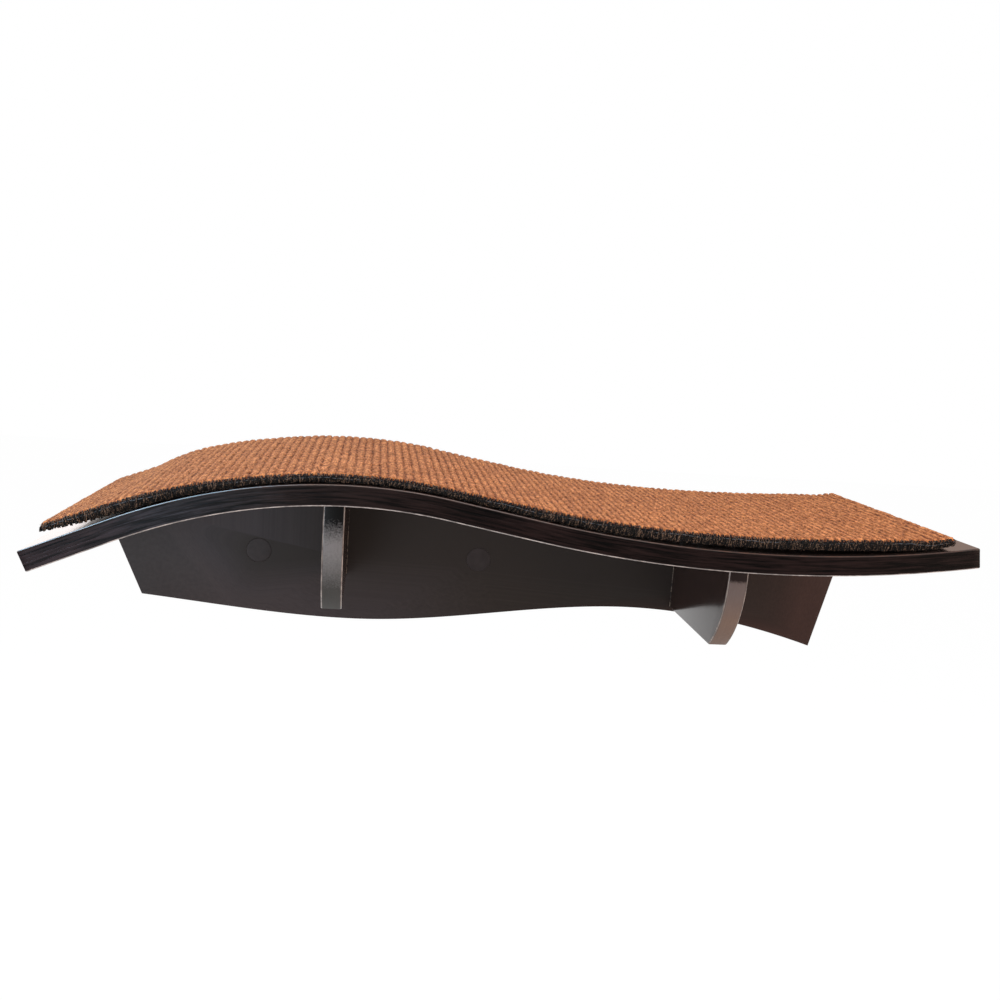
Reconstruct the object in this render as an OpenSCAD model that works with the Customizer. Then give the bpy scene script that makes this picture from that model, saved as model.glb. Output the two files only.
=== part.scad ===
// Pet wall shelf: a moulded plywood board on a wall panel with two brackets and a loose carpet mat.
// X runs along the wall, Y points into the wall and Z points up, in millimetres.
// The origin lies on the wall, midway between the outer wall screws.

/* [Board] */
// Depth of the board from the wall to its front edge
board_depth = 280; // [200:5:400]
// Thickness of each face veneer
veneer_t = 1.25; // [0.6:0.05:2.5]
// Thickness of each core ply
ply_t = 3.5; // [2:0.1:5]
// Length of the straight ramp at the left end
ramp_len = 80; // [40:5:160]
// Rise of the ramp in degrees
ramp_angle = 23; // [12:1:32]
// Radius of the crest on the top face
crest_r = 530; // [350:10:800]
// Fall of the straight between crest and trough in degrees
fall_angle = 10.5; // [6:0.5:18]
// Length of that straight
fall_len = 80; // [20:5:160]
// Radius of the trough on the top face
trough_r = 1300; // [900:10:1800]
// Rise of the board at its right end in degrees
end_angle = 8.8; // [3:0.2:14]
// Height of the crest above the wall screws
crest_h = 121; // [95:1:160]

/* [Wall panel] */
// Thickness of the panel
panel_t = 20; // [16:1:30]
// Distance along the board from each of its ends to the panel
panel_inset = 4; // [1:1:30]
// Height of the left end, square to the ramp
panel_left_h = 95; // [70:1:130]
// Height of the right end along its slope
panel_right_h = 167; // [120:1:200]
// Lean of the right end from the vertical in degrees
panel_right_lean = 13.5; // [5:0.5:25]
// Distance of the lower edge's low point left of the middle
low_x = 150; // [80:5:250]
// Depth of the low point below the wall screws
low_drop = 77.5; // [50:0.5:110]
// Distance of the lower edge's high point right of the middle
high_x = 165; // [80:5:250]
// Depth of the high point below the wall screws
high_drop = 51; // [35:1:80]
// Fall of the lower edge at the left corner in degrees
left_corner_fall = 6; // [0:0.5:15]
// Fall of the lower edge at the right corner in degrees
right_corner_fall = 17.5; // [5:0.5:25]

/* [Wall screws] */
// Distance of each outer wall screw from the middle
outer_screw_x = 268; // [200:1:320]
// Distance of the middle wall screw left of the middle
middle_screw_x = 14; // [0:1:60]
// Diameter of a wall screw's hole
wall_hole_d = 6; // [4:0.5:8]

/* [Screw caps] */
// Diameter of a cap
cap_d = 28; // [24:0.5:40]
// Thickness of a cap's disc
cap_t = 2.4; // [1.5:0.1:4]
// Height of a cap above the panel's face
cap_proud = 0.4; // [0:0.1:1]
// Rounding of a cap's rim
cap_rim_r = 0.8; // [0.3:0.1:1.2]
// Outer diameter of a cap's skirt
skirt_d = 19; // [15:0.5:22]
// Wall of a cap's skirt
skirt_wall = 1.8; // [1:0.1:3]
// Length of a cap's skirt
skirt_len = 5.5; // [3:0.5:8]
// Room behind the skirt for a wall screw's head
head_room = 2.5; // [1:0.5:4]

/* [Brackets] */
// Thickness of each bracket
bracket_t = 21; // [16:1:30]
// Distance of the left bracket's centre from the middle
left_bracket_x = 178; // [120:1:230]
// Distance of the right bracket's centre from the middle
right_bracket_x = 234; // [150:1:236]
// Height of the left bracket
left_bracket_h = 126; // [105:1:150]
// Height of the right bracket
right_bracket_h = 105; // [100:1:150]
// Reach of each bracket from the panel's face
bracket_reach = 187; // [150:1:230]
// Radius of the curve on a bracket's front edge
front_curve_r = 110; // [100:1:200]
// Height of that curve above the bracket's bottom edge
front_curve_h = 85; // [60:1:95]

/* [Mat] */
// Distance along the board from each of its ends to the mat
mat_end_margin = 26; // [5:1:60]
// Distance from the board's front edge to the mat
mat_front_margin = 5; // [0:1:30]
// Distance from the wall to the mat
mat_back_margin = 5; // [0:1:30]
// Thickness of the carpet pile
pile_t = 4.8; // [3:0.1:10]
// Thickness of the mat's backing
backing_t = 2.2; // [1:0.1:4]
// Width of the overlocked edge
binding_w = 3; // [1.5:0.5:8]
// Lift of the mat's left end off the board
end_lift = 5.5; // [0:0.5:15]
// Length of mat that lifts at the left end
end_lift_run = 195; // [60:5:200]
// Lift of the mat where it bridges the trough
trough_lift = 6.2; // [0:0.2:8]
// Length of mat at the right end that lies on the board again
end_rest = 32; // [28:1:60]

/* [Hook and loop strips] */
// Width of a strip along the board
strip_w = 25; // [10:1:40]
// Length of a strip from back to front
strip_len = 210; // [100:5:240]
// Thickness of a strip
strip_t = 1; // [0.5:0.1:2]

/* [Fasteners] */
// Diameter of a wood screw
screw_d = 4.5; // [3:0.5:6]
// Diameter of a wood screw's head
screw_head_d = 9; // [7:0.5:12]
// Length of a wood screw
screw_len = 45; // [35:1:60]
// Diameter of a dowel
dowel_d = 8; // [5:0.5:10]
// Length of a dowel
dowel_len = 30; // [20:1:40]
// Depth of a dowel in the panel
dowel_in_panel = 11; // [6:1:13]

/* [Clearances] */
// Clearance round a screw or a dowel
screw_clear = 0.1; // [0.05:0.05:0.2]
// Clearance round a cap
cap_clear = 0.3; // [0.2:0.05:0.5]
// Depth of a screw head below the face
head_sink = 0.6; // [0.4:0.1:1]
// Clearance between the hook strips and the loop strips
mat_clear = 0.3; // [0.2:0.05:0.5]
// Thickness of the glue behind a strip
glue_t = 0.05; // [0.05:0.01:0.2]

/* [Hidden] */

$fn = 64;
overrun = 1;
core_plies = 5;
crest_steps = 28;
trough_steps = 24;
edge_steps = 14;
mat_steps = 56;

lacquer = [0.11, 0.09, 0.085];
bare_ply = [0.20, 0.16, 0.14];
plastic = [0.13, 0.12, 0.12];
steel = [0.62, 0.62, 0.60];
beech = [0.80, 0.66, 0.47];
nylon = [0.08, 0.08, 0.08];
felt = [0.16, 0.14, 0.13];
yarn = [0.07, 0.06, 0.055];
carpet = [0.62, 0.39, 0.22];

board_t = core_plies * ply_t + veneer_t + veneer_t;
mat_t = backing_t + pile_t;
mat_base = strip_t + strip_t + glue_t + glue_t + mat_clear;

// Shares of a bracket's height for its back screws and dowels
back_screw_shares = [0.2, 0.8];
dowel_shares = [0.38, 0.62];
// Shares of a bracket's reach for its top screws
top_screw_shares = [0.32, 0.75];
// Shares of the board's length for the screws into the panel
panel_screw_shares = [0.1, 0.45, 0.6, 0.92];
// Shares of the mat's length for the middles of the strips
strip_shares = [0.27, 0.4, 0.98];
// Depth and width of a screw head's cross, as shares of the screw's diameter
cross_depth_share = 0.45;
cross_width_share = 0.25;

// Top face of the board as a path of straight, arc, straight and arc, measured from its left end
function along(a) = [cos(a), sin(a)];
function square_to(a) = [-sin(a), cos(a)];
function arc_len(r, a) = r * a * PI / 180;
function arc_turn(len, r) = len / r * 180 / PI;

crest_s = ramp_len;
fall_s = crest_s + arc_len(crest_r, ramp_angle + fall_angle);
trough_s = fall_s + fall_len;
end_s = trough_s + arc_len(trough_r, fall_angle + end_angle);

board_span = ramp_len * cos(ramp_angle) + crest_r * (sin(ramp_angle) + sin(fall_angle))
    + fall_len * cos(fall_angle) + trough_r * (sin(fall_angle) + sin(end_angle));
left_end = [-board_span / 2, crest_h - ramp_len * sin(ramp_angle) - crest_r * (1 - cos(ramp_angle))];
crest_centre = left_end + ramp_len * along(ramp_angle) - crest_r * square_to(ramp_angle);
fall_start = crest_centre + crest_r * square_to(-fall_angle);
trough_centre = fall_start + fall_len * along(-fall_angle) + trough_r * square_to(-fall_angle);

function heading(s) =
    s < crest_s ? ramp_angle
    : s < fall_s ? ramp_angle - arc_turn(s - crest_s, crest_r)
    : s < trough_s ? -fall_angle
    : arc_turn(s - trough_s, trough_r) - fall_angle;

function face_point(s) =
    s < crest_s ? left_end + s * along(ramp_angle)
    : s < fall_s ? crest_centre + crest_r * square_to(heading(s))
    : s < trough_s ? fall_start + (s - fall_s) * along(-fall_angle)
    : trough_centre - trough_r * square_to(heading(s));

function board_point(s, depth) = face_point(s) - depth * square_to(heading(s));

stations = concat(
    [0, panel_inset],
    [for (i = [0 : crest_steps]) crest_s + (fall_s - crest_s) * i / crest_steps],
    [for (i = [0 : trough_steps]) trough_s + (end_s - panel_inset - trough_s) * i / trough_steps],
    [end_s]
);
last = len(stations) - 1;

face_heights = [for (s = stations) face_point(s)];
face_slopes = [for (s = stations) [face_point(s)[0], heading(s)]];
under_heights = [for (s = stations) board_point(s, board_t)];

function under_z(x) = lookup(x, under_heights);

// Lower edge of the wall panel as smooth curves through its corners, its low point and its high point
left_corner = board_point(panel_inset, board_t + panel_left_h);
right_corner = board_point(end_s - panel_inset, board_t)
    - panel_right_h * [sin(panel_right_lean), cos(panel_right_lean)];
edge_points = [left_corner, [-low_x, -low_drop], [high_x, -high_drop], right_corner];
edge_slopes = [-tan(left_corner_fall), 0, 0, -tan(right_corner_fall)];

function smooth_point(p, q, slope_p, slope_q, u) =
    let (run = q[0] - p[0])
    [
        p[0] + u * run,
        (1 - u) * (1 - u) * (1 + 2 * u) * p[1] + u * u * (3 - 2 * u) * q[1]
            + run * u * (1 - u) * ((1 - u) * slope_p - u * slope_q)
    ];

lower_edge = concat(
    [for (k = [0 : len(edge_points) - 2], i = [0 : edge_steps - 1])
        smooth_point(edge_points[k], edge_points[k + 1], edge_slopes[k], edge_slopes[k + 1], i / edge_steps)],
    [right_corner]
);

// Mat: it rests on the strips, lifts at its left end and bridges the trough
mat_s0 = mat_end_margin;
mat_s1 = end_s - mat_end_margin;
bridge_s0 = fall_s;
bridge_s1 = mat_s1 - end_rest;
lift_power = 1.15;
bridge_power = 0.65;
bridge_skew = 2;

function end_rise(s) = end_lift * pow(max(0, 1 - (s - mat_s0) / end_lift_run), lift_power);
function bridge_rise(s) =
    s <= bridge_s0 || s >= bridge_s1 ? 0
    : trough_lift * pow(sin(180 * pow((s - bridge_s0) / (bridge_s1 - bridge_s0), bridge_skew)), bridge_power);
function mat_rise(s) = mat_base + end_rise(s) + bridge_rise(s);
function mat_point(s, h) = board_point(s, -mat_rise(s) - h);

mat_in0 = mat_s0 + binding_w;
mat_in1 = mat_s1 - binding_w;
mat_inner = [for (i = [0 : mat_steps]) mat_in0 + (mat_in1 - mat_in0) * i / mat_steps];
mat_outer = concat([mat_s0], mat_inner, [mat_s1]);
mat_back = mat_back_margin;
mat_front = board_depth - mat_front_margin;
strip_back = (board_depth - strip_len) / 2;

function reversed(list) = [for (i = [len(list) - 1 : -1 : 0]) list[i]];

// Screw caps and the pockets that they close
pocket_depth = cap_t - cap_proud + skirt_len + head_room;
cap_seat = panel_t + cap_proud - cap_t;

// Extrudes an outline drawn in X and Z from one distance off the wall to another
module off_wall(near, far) {
    translate([0, -near, 0])
        rotate([90, 0, 0])
            linear_extrude(far - near)
                children();
}

// Places its children on the board's top face, with their Z axis square to the face
module on_board(x, distance) {
    translate([x, -distance, lookup(x, face_heights)])
        rotate([0, -lookup(x, face_slopes), 0])
            children();
}

// Countersunk wood screw, with its head at the origin and its point down
module wood_screw() {
    head_h = (screw_head_d - screw_d) / 2;
    cross_depth = screw_d * cross_depth_share;
    cross_w = screw_d * cross_width_share;
    translate([0, 0, -head_sink])
        difference() {
            union() {
                translate([0, 0, -head_h])
                    cylinder(d1 = screw_d, d2 = screw_head_d, h = head_h);
                translate([0, 0, screw_d - screw_len])
                    cylinder(d = screw_d, h = screw_len - screw_d - head_h);
                translate([0, 0, -screw_len])
                    cylinder(d1 = 0, d2 = screw_d, h = screw_d);
            }
            for (turn = [0, 90])
                rotate([0, 0, turn])
                    translate([-screw_d / 2, -cross_w / 2, -cross_depth])
                        cube([screw_d, cross_w, cross_depth + overrun]);
        }
}

// Room for a wood screw: countersink, hole and open mouth
module screw_room() {
    room_d = screw_d + screw_clear + screw_clear;
    mouth_d = screw_head_d + screw_clear + screw_clear;
    head_h = (mouth_d - room_d) / 2;
    translate([0, 0, -head_sink - head_h])
        cylinder(d1 = room_d, d2 = mouth_d, h = head_h);
    translate([0, 0, -head_sink])
        cylinder(d = mouth_d, h = head_sink + overrun);
    translate([0, 0, -head_sink - screw_len - screw_clear])
        cylinder(d = room_d, h = screw_len + screw_clear);
}

module at_panel_top_screws() {
    for (share = panel_screw_shares)
        on_board(face_point(end_s * share)[0], panel_t / 2)
            children();
}

module at_bracket_top_screws(x) {
    for (share = top_screw_shares)
        on_board(x, panel_t + bracket_reach * share)
            children();
}

module at_bracket_back_screws(x, h) {
    for (share = back_screw_shares)
        translate([x, 0, under_z(x) - h * share])
            rotate([-90, 0, 0])
                children();
}

module at_bracket_dowels(x, h) {
    for (share = dowel_shares)
        translate([x, dowel_in_panel - panel_t, under_z(x) - h * share])
            rotate([90, 0, 0])
                children();
}

module all_top_screw_rooms() {
    at_panel_top_screws() screw_room();
    at_bracket_top_screws(-left_bracket_x) screw_room();
    at_bracket_top_screws(right_bracket_x) screw_room();
}

// One layer of the board between two depths below its top face
module layer(from, to) {
    difference() {
        off_wall(0, board_depth)
            polygon(concat(
                [for (s = stations) board_point(s, from)],
                reversed([for (s = stations) board_point(s, to)])
            ));
        all_top_screw_rooms();
    }
}

module core_ply(i) {
    color(bare_ply)
        layer(veneer_t + ply_t * i, veneer_t + ply_t * (i + 1));
}

module shelf_top_veneer() {
    color(lacquer)
        layer(0, veneer_t);
}

module shelf_bottom_veneer() {
    color(lacquer)
        layer(board_t - veneer_t, board_t);
}

// Pocket and hole for one wall screw, open to the front of the panel
module wall_screw_room() {
    recess_d = cap_d + cap_clear + cap_clear;
    pocket_d = skirt_d + cap_clear + cap_clear;
    rotate([90, 0, 0]) {
        translate([0, 0, cap_seat])
            cylinder(d = recess_d, h = panel_t - cap_seat + overrun);
        translate([0, 0, panel_t - pocket_depth])
            cylinder(d = pocket_d, h = pocket_depth);
        translate([0, 0, -overrun])
            cylinder(d = wall_hole_d, h = panel_t);
    }
}

module wall_panel() {
    color(lacquer)
        difference() {
            off_wall(0, panel_t)
                polygon(concat(
                    [for (i = [1 : last - 1]) board_point(stations[i], board_t)],
                    reversed(lower_edge)
                ));
            for (x = [-outer_screw_x, -middle_screw_x, outer_screw_x])
                translate([x, 0, 0])
                    wall_screw_room();
            at_panel_top_screws() screw_room();
            at_bracket_back_screws(-left_bracket_x, left_bracket_h) screw_room();
            at_bracket_back_screws(right_bracket_x, right_bracket_h) screw_room();
            at_bracket_dowels(-left_bracket_x, left_bracket_h) dowel_room();
            at_bracket_dowels(right_bracket_x, right_bracket_h) dowel_room();
        }
}

// Side outline of a bracket: distance from the panel's face across, height above its bottom edge up
module bracket_outline() {
    curve_x = bracket_reach - front_curve_r;
    tall = board_span;
    square([max(curve_x, 0), tall]);
    translate([0, front_curve_h])
        square([bracket_reach, tall]);
    intersection() {
        translate([curve_x, front_curve_h])
            circle(r = front_curve_r, $fn = 128);
        square([bracket_reach, front_curve_h + overrun]);
    }
}

module under_board() {
    off_wall(0, board_depth)
        polygon(concat(
            under_heights,
            [[under_heights[last][0], -board_span], [under_heights[0][0], -board_span]]
        ));
}

module bracket(x, h) {
    color(lacquer)
        difference() {
            intersection() {
                translate([x - bracket_t / 2, -panel_t, under_z(x) - h])
                    rotate([90, 0, -90])
                        mirror([0, 0, 1])
                            linear_extrude(bracket_t)
                                bracket_outline();
                under_board();
            }
            at_bracket_top_screws(x) screw_room();
            at_bracket_back_screws(x, h) screw_room();
            at_bracket_dowels(x, h) dowel_room();
        }
}

module left_bracket() {
    bracket(-left_bracket_x, left_bracket_h);
}

module right_bracket() {
    bracket(right_bracket_x, right_bracket_h);
}

module panel_top_screws() {
    color(steel)
        at_panel_top_screws() wood_screw();
}

module left_bracket_top_screws() {
    color(steel)
        at_bracket_top_screws(-left_bracket_x) wood_screw();
}

module right_bracket_top_screws() {
    color(steel)
        at_bracket_top_screws(right_bracket_x) wood_screw();
}

module left_bracket_back_screws() {
    color(steel)
        at_bracket_back_screws(-left_bracket_x, left_bracket_h) wood_screw();
}

module right_bracket_back_screws() {
    color(steel)
        at_bracket_back_screws(right_bracket_x, right_bracket_h) wood_screw();
}

// Dowel with its panel end at the origin
module dowel() {
    chamfer = dowel_d / 8;
    cylinder(d1 = dowel_d - chamfer - chamfer, d2 = dowel_d, h = chamfer);
    translate([0, 0, chamfer])
        cylinder(d = dowel_d, h = dowel_len - chamfer - chamfer);
    translate([0, 0, dowel_len - chamfer])
        cylinder(d1 = dowel_d, d2 = dowel_d - chamfer - chamfer, h = chamfer);
}

module dowel_room() {
    translate([0, 0, -screw_clear])
        cylinder(d = dowel_d + screw_clear + screw_clear, h = dowel_len + screw_clear + screw_clear);
}

module left_bracket_dowels() {
    color(beech)
        at_bracket_dowels(-left_bracket_x, left_bracket_h) dowel();
}

module right_bracket_dowels() {
    color(beech)
        at_bracket_dowels(right_bracket_x, right_bracket_h) dowel();
}

// Push-in cap: a disc with a rounded rim and a hollow skirt behind it
module screw_cap(x) {
    rim_x = cap_d / 2 - cap_rim_r;
    rim_z = cap_t - cap_rim_r;
    color(plastic)
        translate([x, -cap_seat, 0])
            rotate([90, 0, 0]) {
                rotate_extrude() {
                    square([rim_x, cap_t]);
                    square([cap_d / 2, rim_z]);
                    intersection() {
                        translate([rim_x, rim_z])
                            circle(r = cap_rim_r);
                        square([cap_d / 2, cap_t]);
                    }
                }
                translate([0, 0, -skirt_len])
                    difference() {
                        cylinder(d = skirt_d, h = skirt_len + cap_t / 2);
                        translate([0, 0, -overrun])
                            cylinder(d = skirt_d - skirt_wall - skirt_wall, h = skirt_len + overrun);
                    }
            }
}

module left_screw_cap() {
    screw_cap(-outer_screw_x);
}

module middle_screw_cap() {
    screw_cap(-middle_screw_x);
}

module right_screw_cap() {
    screw_cap(outer_screw_x);
}

// Slab of the mat between two heights, over a list of stations
module mat_slab(list, bottom, top) {
    polygon(concat(
        [for (s = list) mat_point(s, bottom)],
        reversed([for (s = list) mat_point(s, top)])
    ));
}

module mat_backing() {
    color(felt)
        off_wall(mat_back + binding_w, mat_front - binding_w)
            mat_slab(mat_inner, 0, backing_t);
}

module mat_carpet() {
    color(carpet)
        off_wall(mat_back + binding_w, mat_front - binding_w)
            mat_slab(mat_inner, backing_t, mat_t);
}

module mat_binding() {
    color(yarn)
        difference() {
            off_wall(mat_back, mat_front)
                mat_slab(mat_outer, 0, mat_t);
            off_wall(mat_back + binding_w, mat_front - binding_w)
                mat_slab(mat_inner, -overrun, mat_t + overrun);
        }
}

// Stations across one strip
function strip_stations(share) =
    let (middle = mat_s0 + (mat_s1 - mat_s0) * share)
    [middle - strip_w / 2, middle - strip_w / 4, middle, middle + strip_w / 4, middle + strip_w / 2];

module board_hook_strips() {
    color(nylon)
        for (share = strip_shares)
            off_wall(strip_back, strip_back + strip_len)
                polygon(concat(
                    [for (s = strip_stations(share)) board_point(s, -glue_t)],
                    reversed([for (s = strip_stations(share)) board_point(s, -glue_t - strip_t)])
                ));
}

module mat_loop_strips() {
    color(nylon)
        for (share = strip_shares)
            off_wall(strip_back, strip_back + strip_len)
                mat_slab(strip_stations(share), -glue_t - strip_t, -glue_t);
}

shelf_top_veneer();
core_ply(0);  // shelf_ply_1
core_ply(1);  // shelf_ply_2
core_ply(2);  // shelf_ply_3
core_ply(3);  // shelf_ply_4
core_ply(4);  // shelf_ply_5
shelf_bottom_veneer();
wall_panel();
left_bracket();
right_bracket();
panel_top_screws();
left_bracket_top_screws();
right_bracket_top_screws();
left_bracket_back_screws();
right_bracket_back_screws();
left_bracket_dowels();
right_bracket_dowels();
left_screw_cap();
middle_screw_cap();
right_screw_cap();
board_hook_strips();
mat_loop_strips();
mat_backing();
mat_carpet();
mat_binding();
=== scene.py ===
from math import asin, copysign, cos, pi, radians, sin, sqrt, tan

import bpy
import numpy as np
from mathutils import Matrix, Vector


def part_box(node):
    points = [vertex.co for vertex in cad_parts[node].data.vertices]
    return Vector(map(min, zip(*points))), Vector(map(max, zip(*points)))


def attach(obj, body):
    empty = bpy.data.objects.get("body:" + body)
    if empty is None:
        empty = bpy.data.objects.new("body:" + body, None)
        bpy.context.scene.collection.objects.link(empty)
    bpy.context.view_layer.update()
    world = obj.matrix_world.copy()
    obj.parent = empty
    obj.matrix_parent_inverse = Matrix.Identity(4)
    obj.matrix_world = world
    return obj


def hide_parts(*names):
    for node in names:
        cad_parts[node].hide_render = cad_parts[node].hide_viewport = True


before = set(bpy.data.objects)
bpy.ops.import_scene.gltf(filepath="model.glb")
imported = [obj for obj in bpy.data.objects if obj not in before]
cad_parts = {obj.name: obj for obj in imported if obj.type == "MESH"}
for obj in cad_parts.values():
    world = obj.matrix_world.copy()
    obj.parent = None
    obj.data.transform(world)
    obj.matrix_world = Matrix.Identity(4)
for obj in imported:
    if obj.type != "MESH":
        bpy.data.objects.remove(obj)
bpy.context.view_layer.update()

rng = np.random.default_rng(11)

# Shapes are worked out in millimetres and turned into metres when a mesh is made.
MM = 0.001
SHARP = radians(35)
WHITE = (1, 1, 1, 1)

# Board: straight ramp, crest arc, straight fall and trough arc, measured along its top face
RAMP_LEN = 80
RAMP = radians(23)
CREST_R = 530
FALL = radians(10.5)
FALL_LEN = 80
TROUGH_R = 1300
END = radians(8.8)
CREST_H = 121
VENEER_T = 1.25
VENEER_ROUND_STEPS = 5
PLY_T = 3.5
CORE_PLIES = 5
BOARD_T = CORE_PLIES * PLY_T + 2 * VENEER_T
END_ROUND = 1.3
PLAN_CORNER = 1.6
PLY_GROOVE = 0.22
PLY_PROUD = 0.1
BOARD_STEP = 5
UNDER_STATIONS = 600
FACE_STATIONS = 2000

# Wall panel
PANEL_INSET = 4
PANEL_LEFT_H = 95
PANEL_RIGHT_H = 167
PANEL_LEAN = radians(13.5)
LOW_POINT = (-150, -77.5)
HIGH_POINT = (165, -51)
LEFT_CORNER_FALL = radians(6)
RIGHT_CORNER_FALL = radians(17.5)
PANEL_ROUND = 0.9
TOP_EDGE_STATIONS = 150
LOWER_EDGE_STEPS = 36

# Brackets
BRACKETS = ("left_bracket", "right_bracket")
FRONT_CURVE_R = 110
FRONT_CURVE_H = 85
FRONT_CURVE_STATIONS = 28
BRACKET_ROUND = 1.5
# Depth below the board's underside of the board's painted shadow on each bracket's front edge
LEFT_PAINTED_SHADOW = 37
RIGHT_PAINTED_SHADOW = 26
JOINT_W = 1.3
JOINT_PROUD = 0.25
JOINT_STATIONS = 30

# Holes, caps and screws
CAPS = ("left", "middle", "right")
WALL_HOLE_D = 6
CAP_CLEAR = 0.1
RECESS_CHAMFER = 0.15
RECESS_SIDES = 64
CAP_RIM_R = 0.2
CAP_RIM_STATIONS = 6
CAP_T = 2.4
CAP_DOME = 0.2
CAP_DOME_SHARES = (0.3, 0.6, 0.8)
CAP_SIDES = 72
SKIRT_D = 19
SKIRT_WALL = 1.8
POCKET_DEPTH = 10
SCREW_D = 4.5
HEAD_D = 9
HEAD_SINK = 0.6
SCREW_CLEAR = 0.1
SCREW_SIDES = 32
PANEL_SCREW_SHARES = (0.1, 0.45, 0.6, 0.92)
TOP_SCREW_SHARES = (0.32, 0.75)
BACK_SCREW_SHARES = (0.2, 0.8)
OVERRUN = 1

# Mat: margins, thickness, and how it rises off the board
MAT_END_MARGIN = 26
LEFT_STRETCH = 4
RIGHT_STRETCH = 5
MAT_EDGE_MARGIN = 5
BACKING_T = 2.2
BACKING_CHAMFER = 0.3
PILE_T = 4.8
BINDING_W = 3
MAT_BASE = 2.4
END_LIFT = 6.3
END_LIFT_RUN = 195
LIFT_POWER = 1.15
TROUGH_LIFT = 6.2
BRIDGE_POWER = 0.65
BRIDGE_SKEW = 2
END_REST = 32
END_SHEAR = 0.42
END_SHEAR_RUN = 25
RIGHT_LIFT = 2.2
RIGHT_LIFT_RUN = 120
BACK_LIFT = 6.8
BACK_LIFT_FROM = 60
BACK_LIFT_RUN = 65
BACK_LIFT_LOSS = 0.8

# Pile: ribs, loops along them, and pits in the furrows between them
RIB_PITCH = 7.6
LOOP_PITCH = 5.6
RIB_SAMPLES = 4
LOOP_SAMPLES = 4
RIB_H = 3.4
RIDGE_POWER = 0.4
KNUCKLE_POWER = 0.5
PILE_OVER = 0.7
PILE_UNDER_BINDING = 1
PILE_JITTER = 0.15
FRONT_TUCK = 0.7
FRONT_TUCK_RUN = 1.5
FURROW_LEFT = 0.38
FURROW_RIGHT = 0.64
FURROW_POWER = 2
PIT_PITCH = 17
PIT_JITTER = 0.15
PIT_UNEVEN = 1.9
PIT_FROM = 0.1
PIT_RUN = 0.5
SPARE_PITS = 3
LOOP_DIP = 0.1
LOOP_SLANT = 0.5
LOOP_UNEVEN = 0.2
LOOP_SWAY = 0.5

# Overlocked edge: a core, given as distance outwards and height, stitches round it and stray fibres
CORE_PITCH = 6
CORE_LOW = 0.7
CORE_HANG = 0.9
CORE_OUTLINE = ((-1.5, CORE_LOW), (1.9, CORE_LOW), (2.0, 1.6), (2.0, 3.6), (1.4, 4.2), (-1.5, 4.2))
EDGE_CORNER = 1.2
STITCH_PITCH = 1.3
STITCH_POINTS = 10
YARN_R = 0.56
YARN_R_SHARES = (0.7, 1.15)
YARN_SIDES = 4
YARN_JITTER = 0.16
WRAP_HALF_W = 1.85
WRAP_W_SHARES = (0.8, 1.08)
WRAP_TOP = 6.3
REAR_WRAP_TOP = 4.7
WRAP_TOP_JITTER = 0.25
WRAP_LOW = -0.7
WRAP_POWER = 3.4
WRAP_PROUD = 0.5
STITCH_LEAN = 0.4
STITCH_LEAN_JITTER = 0.8
STITCH_WAVER = 0.35
POINT_SHADE = 0.8
STITCH_SHADE = 0.2
SLACK = 4.5
SLACK_SHARES = (0.7, 1.0)
SLACK_FROM = 25
SLACK_RUN = 45
SLACK_CLEAR = 0.3
FUZZ_COUNT = 6000
FUZZ_PITCH = 0.5
FUZZ_LEN = (0.9, 2.2)
FUZZ_R = 0.13
FUZZ_OUT = 0.6
FUZZ_SPREAD = 0.6
FUZZ_BELOW_TOP = 1
FUZZ_ABOVE_LOW = 0.5
SKEW = (0.31, 0.52, 0.79)

# Thread in the edge: depth and height, with waves as (size, length)
THREAD_R = 0.3
THREAD_SIDES = 5
THREAD_PITCH = 1.5
THREAD_STITCH = 7
THREAD_SUNK = 2.4
THREAD_RISE = 1.6
THREAD_STRAY = 0.7
THREAD_STRAY_RANGE = (-1, 0.6)
THREAD_STRAY_WAVES = (31, 13)
THREAD_STRAY_SHIFT = 1.3
THREAD_H = 2.6
THREAD_WAVES = ((0.6, 9), (0.2, 2.3))

# Hook and loop strips
STRIP_W = 25
STRIP_LEN = 210
STRIP_T = 1
GLUE_T = 0.05
STRIP_SHARES = (0.27, 0.4, 0.98)
STRIP_BASE_T = 0.45
STRIP_ROUND = 0.15
STRIP_CORNER = 1
STRIP_STEP = 5
HOOK_PITCH = 2.8
HOOK_JITTER = 0.15
HOOK_HALF_W = 0.16
HOOK_ROOT_SHARE = 0.9
HOOK_STEM = ((0.0, 0.0), (0.1, 0.25), (0.35, 0.45), (0.62, 0.38))
LOOP_STRIP_COLS = 20
LOOP_STRIP_ROWS = 150
LOOP_FUZZ_SHARES = (0.35, 1.0)


def box_mm(node):
    low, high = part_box(node)
    return np.array(low) / MM, np.array(high) / MM


PANEL_FRONT = box_mm("wall_panel")[0][1]
BOARD_FRONT = box_mm("shelf_ply_1")[0][1]
BOARD_DEPTH = -BOARD_FRONT
PANEL_T = -PANEL_FRONT


def stacked(*parts):
    """Arrays side by side along a new last axis."""
    return np.stack(np.broadcast_arrays(*parts), -1)


# Path of the board

def along(angle):
    return np.array([cos(angle), sin(angle)])


def square_to(angle):
    return stacked(-np.sin(angle), np.cos(angle))


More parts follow.
